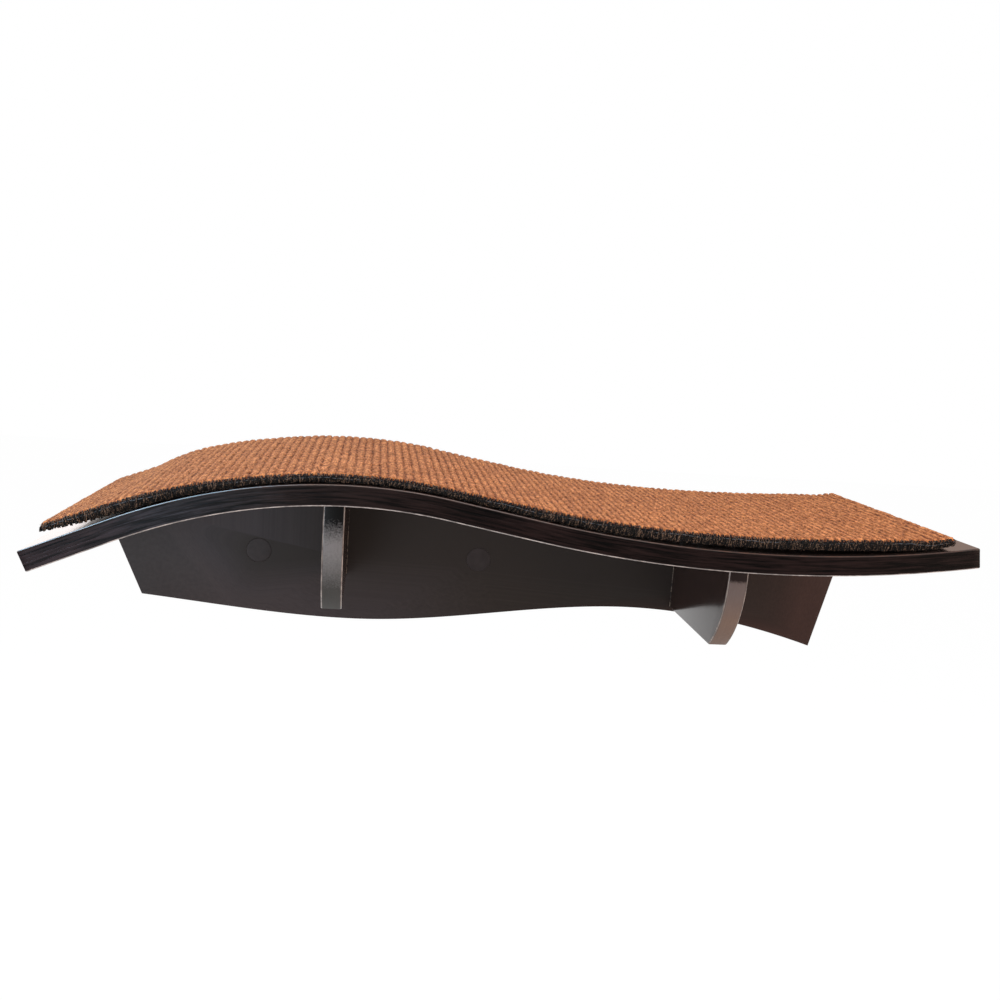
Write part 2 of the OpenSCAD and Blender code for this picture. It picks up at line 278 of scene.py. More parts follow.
CREST_S = RAMP_LEN
FALL_S = CREST_S + CREST_R * (RAMP + FALL)
TROUGH_S = FALL_S + FALL_LEN
END_S = TROUGH_S + TROUGH_R * (FALL + END)
BOARD_SPAN = (
    RAMP_LEN * cos(RAMP)
    + CREST_R * (sin(RAMP) + sin(FALL))
    + FALL_LEN * cos(FALL)
    + TROUGH_R * (sin(FALL) + sin(END))
)
LEFT_END = np.array(
    [-BOARD_SPAN / 2, CREST_H - RAMP_LEN * sin(RAMP) - CREST_R * (1 - cos(RAMP))]
)
CREST_CENTRE = LEFT_END + RAMP_LEN * along(RAMP) - CREST_R * square_to(RAMP)
FALL_START = CREST_CENTRE + CREST_R * square_to(-FALL)
TROUGH_CENTRE = FALL_START + FALL_LEN * along(-FALL) + TROUGH_R * square_to(-FALL)


def heading(s):
    """Slope of the board's top face, as an angle."""
    crest = np.clip(s - CREST_S, 0, FALL_S - CREST_S) / CREST_R
    return RAMP - crest + np.maximum(0, s - TROUGH_S) / TROUGH_R


def face_point(s):
    """Point of the board's top face in X and Z, at a distance along it."""
    s = np.asarray(s, float)
    up = square_to(heading(s))
    run = s[..., None]
    return np.select(
        [run < CREST_S, run < FALL_S, run < TROUGH_S],
        [
            LEFT_END + run * along(RAMP),
            CREST_CENTRE + CREST_R * up,
            FALL_START + (run - FALL_S) * along(-FALL),
        ],
        TROUGH_CENTRE - TROUGH_R * up,
    )


def board_point(s, depth):
    """Point of the board in X and Z, at a distance along its top face and a depth below it."""
    return face_point(s) - np.asarray(depth, float)[..., None] * square_to(heading(s))


def at_y(xz, y):
    """Points in X and Z, moved to a place in Y."""
    return stacked(xz[..., 0], y, xz[..., 1])


UNDERSIDE = board_point(np.linspace(0, END_S, UNDER_STATIONS), BOARD_T)


def under_z(x):
    return np.interp(x, UNDERSIDE[:, 0], UNDERSIDE[:, 1])


# Mesh tools

def unit(vectors):
    return vectors / np.linalg.norm(vectors, axis=-1, keepdims=True)


def new_mesh(name, verts, faces):
    mesh = bpy.data.meshes.new(name)
    mesh.from_pydata(verts, [], faces)
    return mesh


def new_object(name, data):
    made = bpy.data.objects.new(name, data)
    bpy.context.scene.collection.objects.link(made)
    return made


def quads(rows, cols, wrap_rows=False, wrap_cols=False):
    """Faces of a grid of vertices that is numbered row by row."""
    r = np.arange(rows if wrap_rows else rows - 1)[:, None]
    c = np.arange(cols if wrap_cols else cols - 1)[None, :]
    below = (r + 1) % rows
    right = (c + 1) % cols
    faces = stacked(r * cols + c, r * cols + right, below * cols + right, below * cols + c)
    return faces.reshape(-1, 4)


def grid_border(rows, cols):
    """Vertices round the rim of such a grid."""
    index = np.arange(rows * cols).reshape(rows, cols)
    return np.concatenate([index[0], index[1:, -1], index[-1, -2::-1], index[-2:0:-1, 0]])


def copies(faces, count, size):
    """Faces of a count of equal shells with a number of vertices each."""
    faces = np.asarray(faces)
    return (faces + size * np.arange(count)[:, None, None]).reshape(-1, faces.shape[1])


def signed_volume(verts, faces):
    total = 0.0
    for face in faces:
        a, b, c = verts[face[0]], verts[face[1:-1]], verts[face[2:]]
        total += float((np.cross(b, c) @ a).sum())
    return total


class Shape:
    """Vertices in millimetres, faces, and what the materials read at each vertex."""

    def __init__(self):
        self.verts = np.zeros((0, 3))
        self.faces = []
        self.kinds = []
        self.values = {}

    def add(self, verts, faces, kinds=None, **values):
        """Adds one or more closed shells, turned so that their faces look outwards."""
        verts = np.asarray(verts, float).reshape(-1, 3)
        faces = [np.asarray(face) for face in faces]
        if signed_volume(verts, faces) < 0:
            faces = [face[::-1] for face in faces]
        start = len(self.verts)
        self.verts = np.concatenate([self.verts, verts])
        self.faces += [(face + start).tolist() for face in faces]
        self.kinds += list(kinds) if kinds is not None else [0] * len(faces)
        for key, value in values.items():
            value = np.asarray(value, float).reshape(len(verts), -1)
            self.values.setdefault(key, []).append(value)
        return self

    def piece(self, name, body, slot, materials, replaces=(), sharp=SHARP):
        """Makes the object, which rides on a body and stands for the nodes that it names."""
        mesh = new_mesh(name, (self.verts * MM).tolist(), self.faces)
        mesh.polygons.foreach_set("material_index", self.kinds)
        for key, parts in self.values.items():
            value = np.concatenate(parts)
            kind, field = ("FLOAT", "value") if value.shape[1] == 1 else ("FLOAT_VECTOR", "vector")
            mesh.attributes.new(key, kind, "POINT").data.foreach_set(field, value.ravel())
        mesh.shade_smooth()
        mesh.set_sharp_from_angle(angle=sharp)
        made = new_object(name, mesh)
        for material in materials:
            mesh.materials.append(material)
        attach(made, body)
        if replaces:
            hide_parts(*replaces)
        return made


def rounding(r, steps=4):
    """Depth below a face, inset from its side and share of pale arris colour, which is partly wear and
    partly a painted highlight, round an arris of radius r.
    """
    turn = np.linspace(0, pi / 2, steps + 1)
    return stacked(r * (1 - np.cos(turn)), r * (1 - np.sin(turn)), np.sin(2 * turn))


def both_faces(low, high, r):
    """Place, inset and share of pale arris colour (partly wear, partly a painted highlight) at the
    levels of a plate with rounded arrises, from face to face.
    """
    arc = rounding(r)
    return [(low + d, i, w) for d, i, w in arc] + [(high - d, i, w) for d, i, w in arc[::-1]]


def columns(s0, s1, corner, step):
    """Stations of a slab with round corners, and how far its long sides draw in at each."""
    arc_s, arc_in = rounding(corner).T[:2]
    count = int((s1 - s0 - 2 * corner) / step)
    middle = np.linspace(s0 + corner, s1 - corner, count + 1)[1:-1]
    s = np.concatenate([s0 + arc_s, middle, (s1 - arc_s)[::-1]])
    return s, np.concatenate([arc_in, np.zeros(len(middle)), arc_in[::-1]])


def slab(shape, place, s0, s1, front, back, levels, corner, step=6):
    """Adds a closed slab whose levels are (height or depth, inset, end inset, wear and painted sheen)
    from top down.
    place(s, y, level) gives its points."""
    s, drawn = columns(s0, s1, corner, step)
    middle = (s0 + s1) / 2
    grain, marks = [], []
    for level, side_in, end_in, wear in levels:
        at = middle + (s - middle) * (1 - 2 * end_in / (s1 - s0))
        for y in (front + drawn + side_in, back - drawn - side_in):
            grain.append(stacked(at, y, level))
            marks.append(np.full(len(at), wear))
    grain = np.concatenate(grain)
    index = np.arange(len(grain)).reshape(len(levels), 2, len(s))
    ring = np.concatenate([index[:, 0], index[:, 1, ::-1]], 1)
    faces = list(ring.ravel()[quads(*ring.shape, wrap_cols=True)])
    for cap in (index[0], index[-1, ::-1]):
        faces += list(stacked(cap[0, :-1], cap[0, 1:], cap[1, 1:], cap[1, :-1]))
    return shape.add(place(*grain.T), faces, wear=np.concatenate(marks), grain=grain)


def loft_faces(rows, cols):
    """Faces of a closed solid through a row of loops with flat ends."""
    ends = [np.arange(cols)[::-1], np.arange(cols) + (rows - 1) * cols]
    return list(quads(rows, cols, wrap_cols=True)) + ends


def loft(loops):
    """Vertices and faces of such a solid."""
    loops = np.asarray(loops, float)
    return loops.reshape(-1, 3), loft_faces(*loops.shape[:2])


def lathe(profile, steps):
    """Closed solid turned about Z from a profile of (radius, height), from axis to axis."""
    profile = np.asarray(profile, float)
    r, z = profile[1:-1, :1], profile[1:-1, 1:]
    turn = np.linspace(0, 2 * pi, steps, endpoint=False)
    rings = stacked(r * np.cos(turn), r * np.sin(turn), z)
    poles = [(0, 0, profile[0, 1]), (0, 0, profile[-1, 1])]
    first = len(r) * steps
    last = first - steps
    step = np.arange(steps)
    after = (step + 1) % steps
    faces = list(quads(len(r), steps, wrap_cols=True))
    faces += list(stacked(first, after, step))
    faces += list(stacked(first + 1, last + step, last + after))
    return np.concatenate([rings.reshape(-1, 3), poles]), faces


def inset(outline, distance):
    """A closed outline drawn in by a distance."""
    step = unit(np.roll(outline, -1, 0) - outline)
    normal = stacked(-step[:, 1], step[:, 0])
    before = np.roll(normal, 1, 0)
    mitre = (normal + before) / (1 + (normal * before).sum(1))[:, None]
    area = np.cross(outline, np.roll(outline, -1, 0)).sum()
    return outline + copysign(distance, area) * mitre


def tubes(centres, across, lift, radius, sides):
    """Closed rings of yarn round centres, with two unit vectors square to the yarn at each."""
    turn = np.linspace(0, 2 * pi, sides, endpoint=False)
    spoke = np.cos(turn)[:, None] * across[:, :, None] + np.sin(turn)[:, None] * lift[:, :, None]
    verts = centres[:, :, None] + radius[:, None, None, None] * spoke
    rings, points = centres.shape[:2]
    one = quads(points, sides, wrap_rows=True, wrap_cols=True)
    return verts, copies(one, rings, points * sides)


def drill(piece, cutters):
    """Cuts holes of the given closed shapes into a piece."""
    tool = new_object("cutters", new_mesh("cutters", (cutters.verts * MM).tolist(), cutters.faces))
    cut = piece.modifiers.new("holes", "BOOLEAN")
    cut.object = tool
    cut.operation = "DIFFERENCE"
    cut.solver = "EXACT"
    graph = bpy.context.evaluated_depsgraph_get()
    drilled = bpy.data.meshes.new_from_object(piece.evaluated_get(graph))
    piece.modifiers.clear()
    piece.data = drilled
    bpy.data.objects.remove(tool)
    drilled.set_sharp_from_angle(angle=SHARP)


# Material tools

def srgb(red, green, blue):
    """A colour from 0 to 255 as the shaders take it."""
    share = np.array([red, green, blue]) / 255
    linear = np.where(share <= 0.04045, share / 12.92, ((share + 0.055) / 1.055) ** 2.4)
    return (*linear.tolist(), 1.0)


class Nodes:
    """Short calls for the nodes of one tree."""

    def __init__(self, tree):
        self.tree = tree

    def feed(self, socket, value):
        if isinstance(value, bpy.types.NodeSocket):
            self.tree.links.new(value, socket)
        else:
            socket.default_value = value

    def node(self, kind, inputs=(), **settings):
        made = self.tree.nodes.new("ShaderNode" + kind)
        for key, value in settings.items():
            setattr(made, key, value)
        for key, value in dict(inputs).items():
            self.feed(made.inputs[key], value)
        return made

    def show(self, output, shader):
        self.feed(self.tree.nodes[output].inputs["Surface"], shader.outputs[0])

    def blend(self, share, a, b):
        return self.node("MixShader", {0: share, 1: a.outputs[0], 2: b.outputs[0]})

    def attribute(self, name, output="Vector"):
        return self.node("Attribute", attribute_name=name).outputs[output]

    def x_of(self, vector):
        return self.node("SeparateXYZ", {"Vector": vector}).outputs["X"]

    def scaled(self, vector, scale):
        made = self.node("VectorMath", {0: vector, 1: scale}, operation="MULTIPLY")
        return made.outputs["Vector"]

    def noise(self, vector, scale=1.0, detail=3.0, rough=0.55):
        inputs = {"Vector": vector, "Scale": scale, "Detail": detail, "Roughness": rough}
        return self.node("TexNoise", inputs).outputs["Fac"]

    def math(self, operation, a, b=0.0):
        return self.node("Math", {0: a, 1: b}, operation=operation).outputs["Value"]

    def span(self, value, low, high, to_low=0.0, to_high=1.0):
        inputs = {"Value": value, "From Min": low, "From Max": high, "To Min": to_low, "To Max": to_high}
        return self.node("MapRange", inputs).outputs["Result"]

    def ramp(self, value, *stops):
        made = self.node("ValToRGB", {"Fac": value})
        points = made.color_ramp.elements
        while len(points) < len(stops):
            points.new(0.5)
        for point, (place, colour) in zip(points, stops):
            point.position = place
            point.color = colour
        return made.outputs["Color"]

    def mix(self, share, a, b, blend="MIX"):
        made = self.node("Mix", data_type="RGBA", blend_type=blend)
        self.feed(made.inputs[0], share)
        self.feed(made.inputs[6], a)
        self.feed(made.inputs[7], b)
        return made.outputs[2]


class Finish(Nodes):
    """A material, with sockets of its shader given by name."""

    def __init__(self, name, **sockets):
        self.material = bpy.data.materials.new(name)
        self.material.use_nodes = True
        super().__init__(self.material.node_tree)
        self.shader = self.tree.nodes["Principled BSDF"]
        for key, value in sockets.items():
            self.set(key.replace("_", " "), value)

    def set(self, key, value):
        self.feed(self.shader.inputs[key], value)

    def done(self, colour, pattern, rough, relief, strength=1.0):
        """Sets the colour, and a gloss and a relief that follow a pattern."""
        bump = self.node("Bump", {"Height": pattern, "Distance": relief, "Strength": strength})
        self.set("Base Color", colour)
        self.set("Normal", bump.outputs["Normal"])
        if rough:
            self.set("Roughness", self.span(pattern, 0.3, 0.7, *rough))
        return self.material


def lacquer(
    name, dark, light, worn_and_sheen, streak, rough, shine, coat=0.0, relief=0.00002, spread=0.15, along=None
):
    """Dark stained wood under lacquer: grain streaks, uneven gloss, and paler arrises that are partly
    rubbed wear and partly a painted highlight.
    along gives two places in grain X and the shares of painted light and shade from one to the other,
    which multiply the colour."""
    f = Finish(name, Specular_IOR_Level=shine, Coat_Weight=coat, Coat_Roughness=0.05)
    grain = f.attribute("grain")
    streaks = f.noise(f.scaled(grain, streak), detail=6, rough=0.62)
    pores = f.noise(f.scaled(grain, tuple(4 * x for x in streak)), detail=4, rough=0.7)
    cloud = f.noise(grain, scale=0.012, detail=2)
    tone = f.math("ADD", f.math("MULTIPLY", streaks, 0.75), f.math("MULTIPLY", cloud, 0.25))
    stain_and_painted_light = f.ramp(tone, (0.5 - spread, dark), (0.5 + spread, light))
    # Painted light and shade along X, multiplied into the colour
    if along:
        start, end, shares = along
        place = f.span(f.x_of(grain), start, end)
        stain_and_painted_light = f.mix(1.0, stain_and_painted_light, f.ramp(place, *shares), "MULTIPLY")
    # Paler arrises: partly chipped wear, partly a painted highlight on the rounded edge
    chips = f.span(f.noise(grain, scale=0.09, detail=5), 0.4, 0.65, 0.35, 1.0)
    wear = f.math("MULTIPLY", f.attribute("wear", "Fac"), chips)
    return f.done(f.mix(wear, stain_and_painted_light, worn_and_sheen), pores, (rough - 0.05, rough + 0.07), relief)


def edge_with_painted_shadow(name, dark, light, low, worn_and_sheen, ragged, lit_from, lit_to):
    """The same lacquer on a front edge, painted pale where the front light falls, with a painted shadow
    of the board close under it and painted shade towards the bottom, where the edge curves under.
    """
    f = Finish(name, Specular_IOR_Level=0.08)
    grain = f.attribute("grain")
    streaks = f.noise(f.scaled(grain, (0.02, 0.02, 0.9)), detail=5, rough=0.6)
    cloud = f.noise(grain, scale=0.03, detail=3)
    raggedness = f.span(f.noise(grain, scale=0.55), 0.3, 0.7, -ragged, ragged)
    # Depth below the board as a share of the painted shadow, with a ragged border: where it is low, the
    # edge lies in the board's painted shadow
    edge = f.math("ADD", f.attribute("rub", "Fac"), raggedness)
    share = f.span(edge, lit_from, lit_to)
    tone = f.span(f.math("ADD", streaks, cloud), 0.7, 1.3, 0.82, 1.0)
    # Painted light on the front edge, turning to painted shade (low) towards the bottom
    painted_light_and_low_shade = f.mix(f.span(edge, 1.5, 2.7), light, low)
    # Painted shadow of the board (dark) close under the board, painted light below it
    stain_and_painted_light = f.mix(f.math("MULTIPLY", share, tone), dark, painted_light_and_low_shade)
    wear = f.math("MULTIPLY", f.attribute("wear", "Fac"), 0.8)
    return f.done(f.mix(wear, stain_and_painted_light, worn_and_sheen), streaks, (0.3, 0.4), 0.00003)


def carpet():
    """Ribbed loop pile of tan yarn: painted shade in the low furrows and pits, loops of uneven shade,
    short fibres.
    """
    f = Finish("carpet_pile", Specular_IOR_Level=0.06, Sheen_Weight=0.05, Sheen_Roughness=0.6)
    grain = f.attribute("grain")
    fibre = f.noise(f.scaled(grain, (0.8, 0.22, 0.6)), detail=5, rough=0.8)
    fuzz = f.noise(f.scaled(grain, (2.2, 0.9, 1.6)), detail=4, rough=0.7)
    patch = f.noise(grain, scale=0.02, detail=3)
    strand = f.noise(f.scaled(grain, (0.5, 0.12, 0.3)), detail=4, rough=0.75)
    # Colour by pile height: painted shade darkens the low furrows and pits, with random fibre tone on
    # top
    depth = f.span(f.attribute("height", "Fac"), 0.0, 1.0, 0.32, 1.0)
    depth = f.math("ADD", depth, f.span(fibre, 0.3, 0.7, -0.34, 0.26))
    depth = f.math("ADD", depth, f.span(strand, 0.35, 0.65, -0.28, 0.17))
    colour = f.ramp(
        depth,
        (0.05, srgb(60, 27, 18)),
        (0.5, srgb(128, 67, 40)),
        (0.78, srgb(202, 124, 73)),
        (1.0, srgb(250, 167, 107)),
    )
    run = f.span(f.x_of(grain), MAT_S0, MAT_S1)
    loop_tint = f.ramp(f.attribute("shade", "Fac"), (0.0, srgb(230, 226, 224)), (1.0, WHITE))
    cloud_tint = f.ramp(patch, (0.3, srgb(236, 232, 230)), (0.7, WHITE))
    # Painted shade, darker towards the mat's left end
    painted_shade_along_run = f.ramp(run, (0.0, srgb(232, 232, 232)), (1.0, WHITE))
    for tint in (loop_tint, cloud_tint, painted_shade_along_run):
        colour = f.mix(1.0, colour, tint, "MULTIPLY")
    return f.done(colour, fuzz, (0.82, 0.98), 0.0006, 0.7)


def yarn(name, dark, mid, speck, speck_from=0.6):
    """Twisted yarn with paler fibres here and there."""
    f = Finish(name, Specular_IOR_Level=0.12, Sheen_Weight=0.02, Sheen_Roughness=0.5)
    grain = f.attribute("grain")
    fibre = f.noise(grain, scale=1.1, detail=5, rough=0.7)
    clump = f.noise(grain, scale=1.0, detail=4)
    tone = f.ramp(fibre, (0.35, dark), (0.65, mid))
    own = f.math("MULTIPLY", f.attribute("shade", "Fac"), 0.5)
    shade = f.math("ADD", own, f.span(clump, 0.35, 0.65, 0.0, 0.5))
    colour = f.mix(f.span(shade, speck_from, speck_from + 0.14), tone, speck)
    return f.done(colour, fibre, (0.75, 0.95), 0.0004, 0.8)


def filler(dark, pale):
    """Filler along a joint, pale in broken patches."""
    f = Finish("joint_filler", Specular_IOR_Level=0.2)
    pale_patches = f.noise(f.scaled(f.attribute("grain"), (0.16, 0.02, 0.02)), detail=4, rough=0.7)
    return f.done(f.ramp(pale_patches, (0.46, dark), (0.56, pale)), pale_patches, (0.4, 0.6), 0.00005)


def felt(name, dark, light, scale):
    """Matted fibres."""
    f = Finish(name, Specular_IOR_Level=0.15, Sheen_Weight=0.05)
    fibre = f.noise(f.attribute("grain"), scale=scale, detail=6, rough=0.75)
    return f.done(f.ramp(fibre, (0.3, dark), (0.7, light)), fibre, (0.85, 0.98), 0.0005, 0.8)


def plastic(name, dark, light, rough):
    """Moulded plastic with a fine spark texture."""
    f = Finish(name, Specular_IOR_Level=0.08)
    grain = f.attribute("grain")
    spark = f.noise(grain, scale=2.2, detail=4)
    cloud = f.noise(grain, scale=0.08, detail=2)
    colour = f.ramp(cloud, (0.3, dark), (0.7, light))
    return f.done(colour, spark, (rough - 0.06, rough + 0.08), 0.00003)


def zinc():
    """Zinc-plated steel with a blotchy, faintly yellow passivation."""
    f = Finish("zinc_plate", Metallic=1.0)
    blotch = f.noise(f.node("TexCoord").outputs["Object"], scale=420, detail=4)
    colour = f.ramp(blotch, (0.3, srgb(176, 174, 164)), (0.7, srgb(206, 205, 198)))
    return f.done(colour, blotch, (0.28, 0.42), 0.00002)


def beech():
    """Plain beech with short flecks along the dowel."""
    f = Finish("beech_wood", Roughness=0.6)
    fleck = f.noise(f.scaled(f.node("TexCoord").outputs["Object"], (2200, 240, 2200)), detail=5)
    colour = f.ramp(fleck, (0.35, srgb(176, 138, 94)), (0.65, srgb(214, 180, 134)))
    return f.done(colour, fleck, None, 0.00005)


# Board

def board_place(s, y, depth):
    return at_y(board_point(s, depth), y)


def end_inset(depth):
    """How far the board's rounded ends draw in at a depth."""
    near = min(depth, BOARD_T - depth)
    if near >= END_ROUND:
        return 0.0
    return END_ROUND - sqrt(END_ROUND**2 - (END_ROUND - near) ** 2)


def make_board(face, under_face, edge):
    """The two face veneers and the core plies. Each mark is (depth, inset, wear and painted sheen)."""
    arc = rounding(VENEER_T, VENEER_ROUND_STEPS)
    under_arc = [(BOARD_T - depth, drawn, wear) for depth, drawn, wear in arc[::-1]]
    layers = [
        ("top_veneer", "shelf_top_veneer", arc, face, "face_veneer"),
        ("bottom_veneer", "shelf_bottom_veneer", under_arc, under_face, "face_veneer"),
    ]
    for k in range(CORE_PLIES):
        d0 = VENEER_T + k * PLY_T
        d1 = d0 + PLY_T
        proud = rng.uniform(0.0, PLY_PROUD)
        marks = [
            (d0, PLY_GROOVE, 0),
            (d0 + PLY_GROOVE, proud, 0),
            (d1 - PLY_GROOVE, proud, 0),
            (d1, PLY_GROOVE, 0),
        ]
        layers.append((f"core_ply_{k + 1}", f"shelf_ply_{k + 1}", marks, edge, "core_ply"))
    holes = board_screw_holes()
    for name, node, marks, material, slot in layers:
        levels = [(depth, drawn, end_inset(depth), wear) for depth, drawn, wear in marks]
        shape = slab(Shape(), board_place, 0, END_S, BOARD_FRONT, 0, levels, PLAN_CORNER, BOARD_STEP)
        made = shape.piece(name, "shelf", slot, [material], [node])
        if name in ("top_veneer", "core_ply_1"):
            drill(made, holes)


def board_screw_places():
    """X and Y of each screw that goes down through the board."""
    places = [(face_point(END_S * share)[0], PANEL_FRONT / 2) for share in PANEL_SCREW_SHARES]
    for node in BRACKETS:
        low, high = box_mm(node)
        reach = high[1] - low[1]
        places += [((low[0] + high[0]) / 2, PANEL_FRONT - reach * share) for share in TOP_SCREW_SHARES]
    return places


def screw_hole(depth):
    """Upright hole with a countersunk mouth at the top."""
    mouth = HEAD_D / 2 + SCREW_CLEAR
    shank = SCREW_D / 2 + SCREW_CLEAR
    cone = mouth - shank
    profile = [
        (0, OVERRUN),
        (mouth, OVERRUN),
        (mouth, -HEAD_SINK),
        (shank, -HEAD_SINK - cone),
        (shank, -depth),
        (0, -depth),
    ]
    return lathe(profile, SCREW_SIDES)


def board_screw_holes():
    shape = Shape()
    verts, faces = screw_hole(2 * VENEER_T + PLY_T)
    stations = np.linspace(0, END_S, FACE_STATIONS)
    face_x = face_point(stations)[:, 0]
    for x, y in board_screw_places():
        s = np.interp(x, face_x, stations)
        tilt = float(heading(s))
        turned = verts[:, :1] * along(tilt) + verts[:, 2:] * square_to(tilt)
        shape.add(at_y(turned + face_point(s), verts[:, 1] + y), faces)
    return shape


# Wall panel

def smooth_edge(p, q, slope_p, slope_q, steps):
    """Curve from p to q that leaves and arrives at the given slopes."""
    u = np.linspace(0, 1, steps, endpoint=False)
    run = q[0] - p[0]
    x = p[0] + u * run
    z = (1 - u) ** 2 * (1 + 2 * u) * p[1] + u**2 * (3 - 2 * u) * q[1]
    z += run * u * (1 - u) * ((1 - u) * slope_p - u * slope_q)
    return stacked(x, z)


def panel_outline():
    s = np.linspace(PANEL_INSET, END_S - PANEL_INSET, TOP_EDGE_STATIONS)
    top = board_point(s, BOARD_T)
    left = board_point(PANEL_INSET, BOARD_T + PANEL_LEFT_H)
    right = top[-1] - PANEL_RIGHT_H * np.array([sin(PANEL_LEAN), cos(PANEL_LEAN)])
    points = [left, LOW_POINT, HIGH_POINT, right]
    slopes = [-tan(LEFT_CORNER_FALL), 0, 0, -tan(RIGHT_CORNER_FALL)]
    ends = zip(points, points[1:], slopes, slopes[1:])
    lower = [smooth_edge(*end, LOWER_EDGE_STEPS) for end in ends]
    return np.concatenate([top, [right], np.concatenate(lower)[::-1]])


def make_panel(material):
    outline = panel_outline()
    levels = both_faces(PANEL_FRONT, 0, PANEL_ROUND)
    verts, faces = loft([at_y(inset(outline, drawn), y) for y, drawn, wear in levels])
    wear = np.repeat([wear for y, drawn, wear in levels], len(outline))
    shape = Shape().add(verts, faces, wear=wear, grain=verts[:, [0, 2, 1]])
    panel = shape.piece("panel", "shelf", "panel_lacquer", [material], ["wall_panel"])
    drill(panel, panel_holes())


def facing_front(verts, centre):
    """An upright turned shape, laid to face the front about a centre."""
    return stacked(centre[0] + verts[:, 0], -verts[:, 2], centre[2] + verts[:, 1])


def panel_holes():
    shape = Shape()
    low, high = box_mm("left_screw_cap")
    seat = low[1] + CAP_T
    recess = (high[0] - low[0]) / 2 + CAP_CLEAR
    pocket = SKIRT_D / 2 + CAP_CLEAR
    bottom = PANEL_FRONT + POCKET_DEPTH
    profile = [
        (0, -PANEL_FRONT + OVERRUN),
        (recess + RECESS_CHAMFER + OVERRUN, -PANEL_FRONT + OVERRUN),
        (recess, -PANEL_FRONT - RECESS_CHAMFER),
        (recess, -seat),
        (pocket, -seat),
        (pocket, -bottom),
        (WALL_HOLE_D / 2, -bottom),
        (WALL_HOLE_D / 2, -OVERRUN),
        (0, -OVERRUN),
    ]
    verts, faces = lathe(profile, RECESS_SIDES)
    for side in CAPS:
        low, high = box_mm(f"{side}_screw_cap")
        shape.add(facing_front(verts, (low + high) / 2), faces)
    verts, faces = screw_hole(PANEL_T + OVERRUN)
    for node in BRACKETS:
        low, high = box_mm(node)
        x = (low[0] + high[0]) / 2
        top = under_z(x)
        for share in BACK_SCREW_SHARES:
            z = top - (top - low[2]) * share
            shape.add(stacked(x + verts[:, 0], verts[:, 2], z + verts[:, 1]), faces)
    return shape


# Brackets

def bracket_outline(reach, height):
    """Side outline as distance from the panel and height above the bottom edge."""
    centre = np.array([reach - FRONT_CURVE_R, FRONT_CURVE_H])
    turn = np.linspace(-asin(FRONT_CURVE_H / FRONT_CURVE_R), 0, FRONT_CURVE_STATIONS)
    arc = centre + FRONT_CURVE_R * stacked(np.cos(turn), np.sin(turn))
    return np.concatenate([[(0, 0)], arc, [(reach, height), (0, height)]])


def make_bracket(side, painted_shadow_depth, faces_finish, edge_finish, joint_finish):
    node = f"{side}_bracket"
    low, high = box_mm(node)
    reach = high[1] - low[1]
    levels = both_faces(low[0], high[0], BRACKET_ROUND)
    loops = []
    for x, drawn, wear in levels:
        out, up = inset(bracket_outline(reach, under_z(x) - low[2]), drawn).T
        loops.append(stacked(x, PANEL_FRONT - out, low[2] + up))
    verts, faces = loft(loops)
    cols = len(loops[0])
    front_strip = len(levels) // 2 - 1
    front_from = PANEL_FRONT - bracket_outline(reach, FRONT_CURVE_H)[1, 0]
    kinds = []
    for k, face in enumerate(faces):
        kinds.append(int(k // cols == front_strip and verts[face, 1].mean() < front_from))
    wear = np.repeat([wear for x, drawn, wear in levels], cols)
    # Depth below the board's underside, as a share of the depth of the board's painted shadow
    rub = (under_z(verts[:, 0]) - verts[:, 2]) / painted_shadow_depth
    shape = Shape().add(verts, faces, kinds, wear=wear, rub=rub, grain=verts[:, [2, 1, 0]])
    joint_bead(shape, low[0], -1, low[2])
    joint_bead(shape, high[0], 1, low[2])
    finishes = [faces_finish, edge_finish, joint_finish]
    shape.piece(f"bracket_{side}", "shelf", "bracket_lacquer", finishes, [node])


def joint_bead(shape, x, side, bottom):
    """Thin line of filler in the groove between a bracket's side and the panel."""
    heights = np.linspace(bottom + BRACKET_ROUND, under_z(x) - BRACKET_ROUND, JOINT_STATIONS)
    corners = [(-JOINT_W, 0), (JOINT_PROUD, 0), (JOINT_PROUD, -JOINT_W / 2), (-JOINT_W, -JOINT_W)]
    verts, faces = loft([[(x + side * a, PANEL_FRONT + b, z) for a, b in corners] for z in heights])
    plain = np.zeros(len(verts))
    shape.add(verts, faces, [2] * len(faces), wear=plain, rub=plain, grain=verts[:, [2, 1, 0]])


# Screw caps

def make_cap(side, material):
    node = f"{side}_screw_cap"
    low, high = box_mm(node)
    r = (high[0] - low[0]) / 2
    skirt = SKIRT_D / 2
    front = -low[1]
    back = front - CAP_T
    tail = -high[1]
    rim_z = front - CAP_DOME - CAP_RIM_R
    turns = np.linspace(0, pi / 2, CAP_RIM_STATIONS)
    profile = [
        (0, front),
        *[(r * share, front - CAP_DOME * share**2) for share in CAP_DOME_SHARES],
        *[(r - CAP_RIM_R + CAP_RIM_R * sin(t), rim_z + CAP_RIM_R * cos(t)) for t in turns],
        (r, back),
        (skirt, back),
        (skirt, tail),
        (skirt - SKIRT_WALL, tail),
        (skirt - SKIRT_WALL, back),
        (0, back),
    ]
    verts, faces = lathe(profile, CAP_SIDES)
    verts = facing_front(verts, (low + high) / 2)
    shape = Shape().add(verts, faces, grain=verts)
    shape.piece(f"cap_{side}", f"{side}_cap", "dark_cap", [material], [node])


# Mat

MAT_S0 = MAT_END_MARGIN - LEFT_STRETCH
MAT_S1 = END_S - MAT_END_MARGIN + RIGHT_STRETCH
MAT_FRONT = BOARD_FRONT + MAT_EDGE_MARGIN
MAT_BACK = -MAT_EDGE_MARGIN
INNER_S0 = MAT_S0 + BINDING_W
INNER_S1 = MAT_S1 - BINDING_W
INNER_FRONT = MAT_FRONT + BINDING_W
INNER_BACK = MAT_BACK - BINDING_W


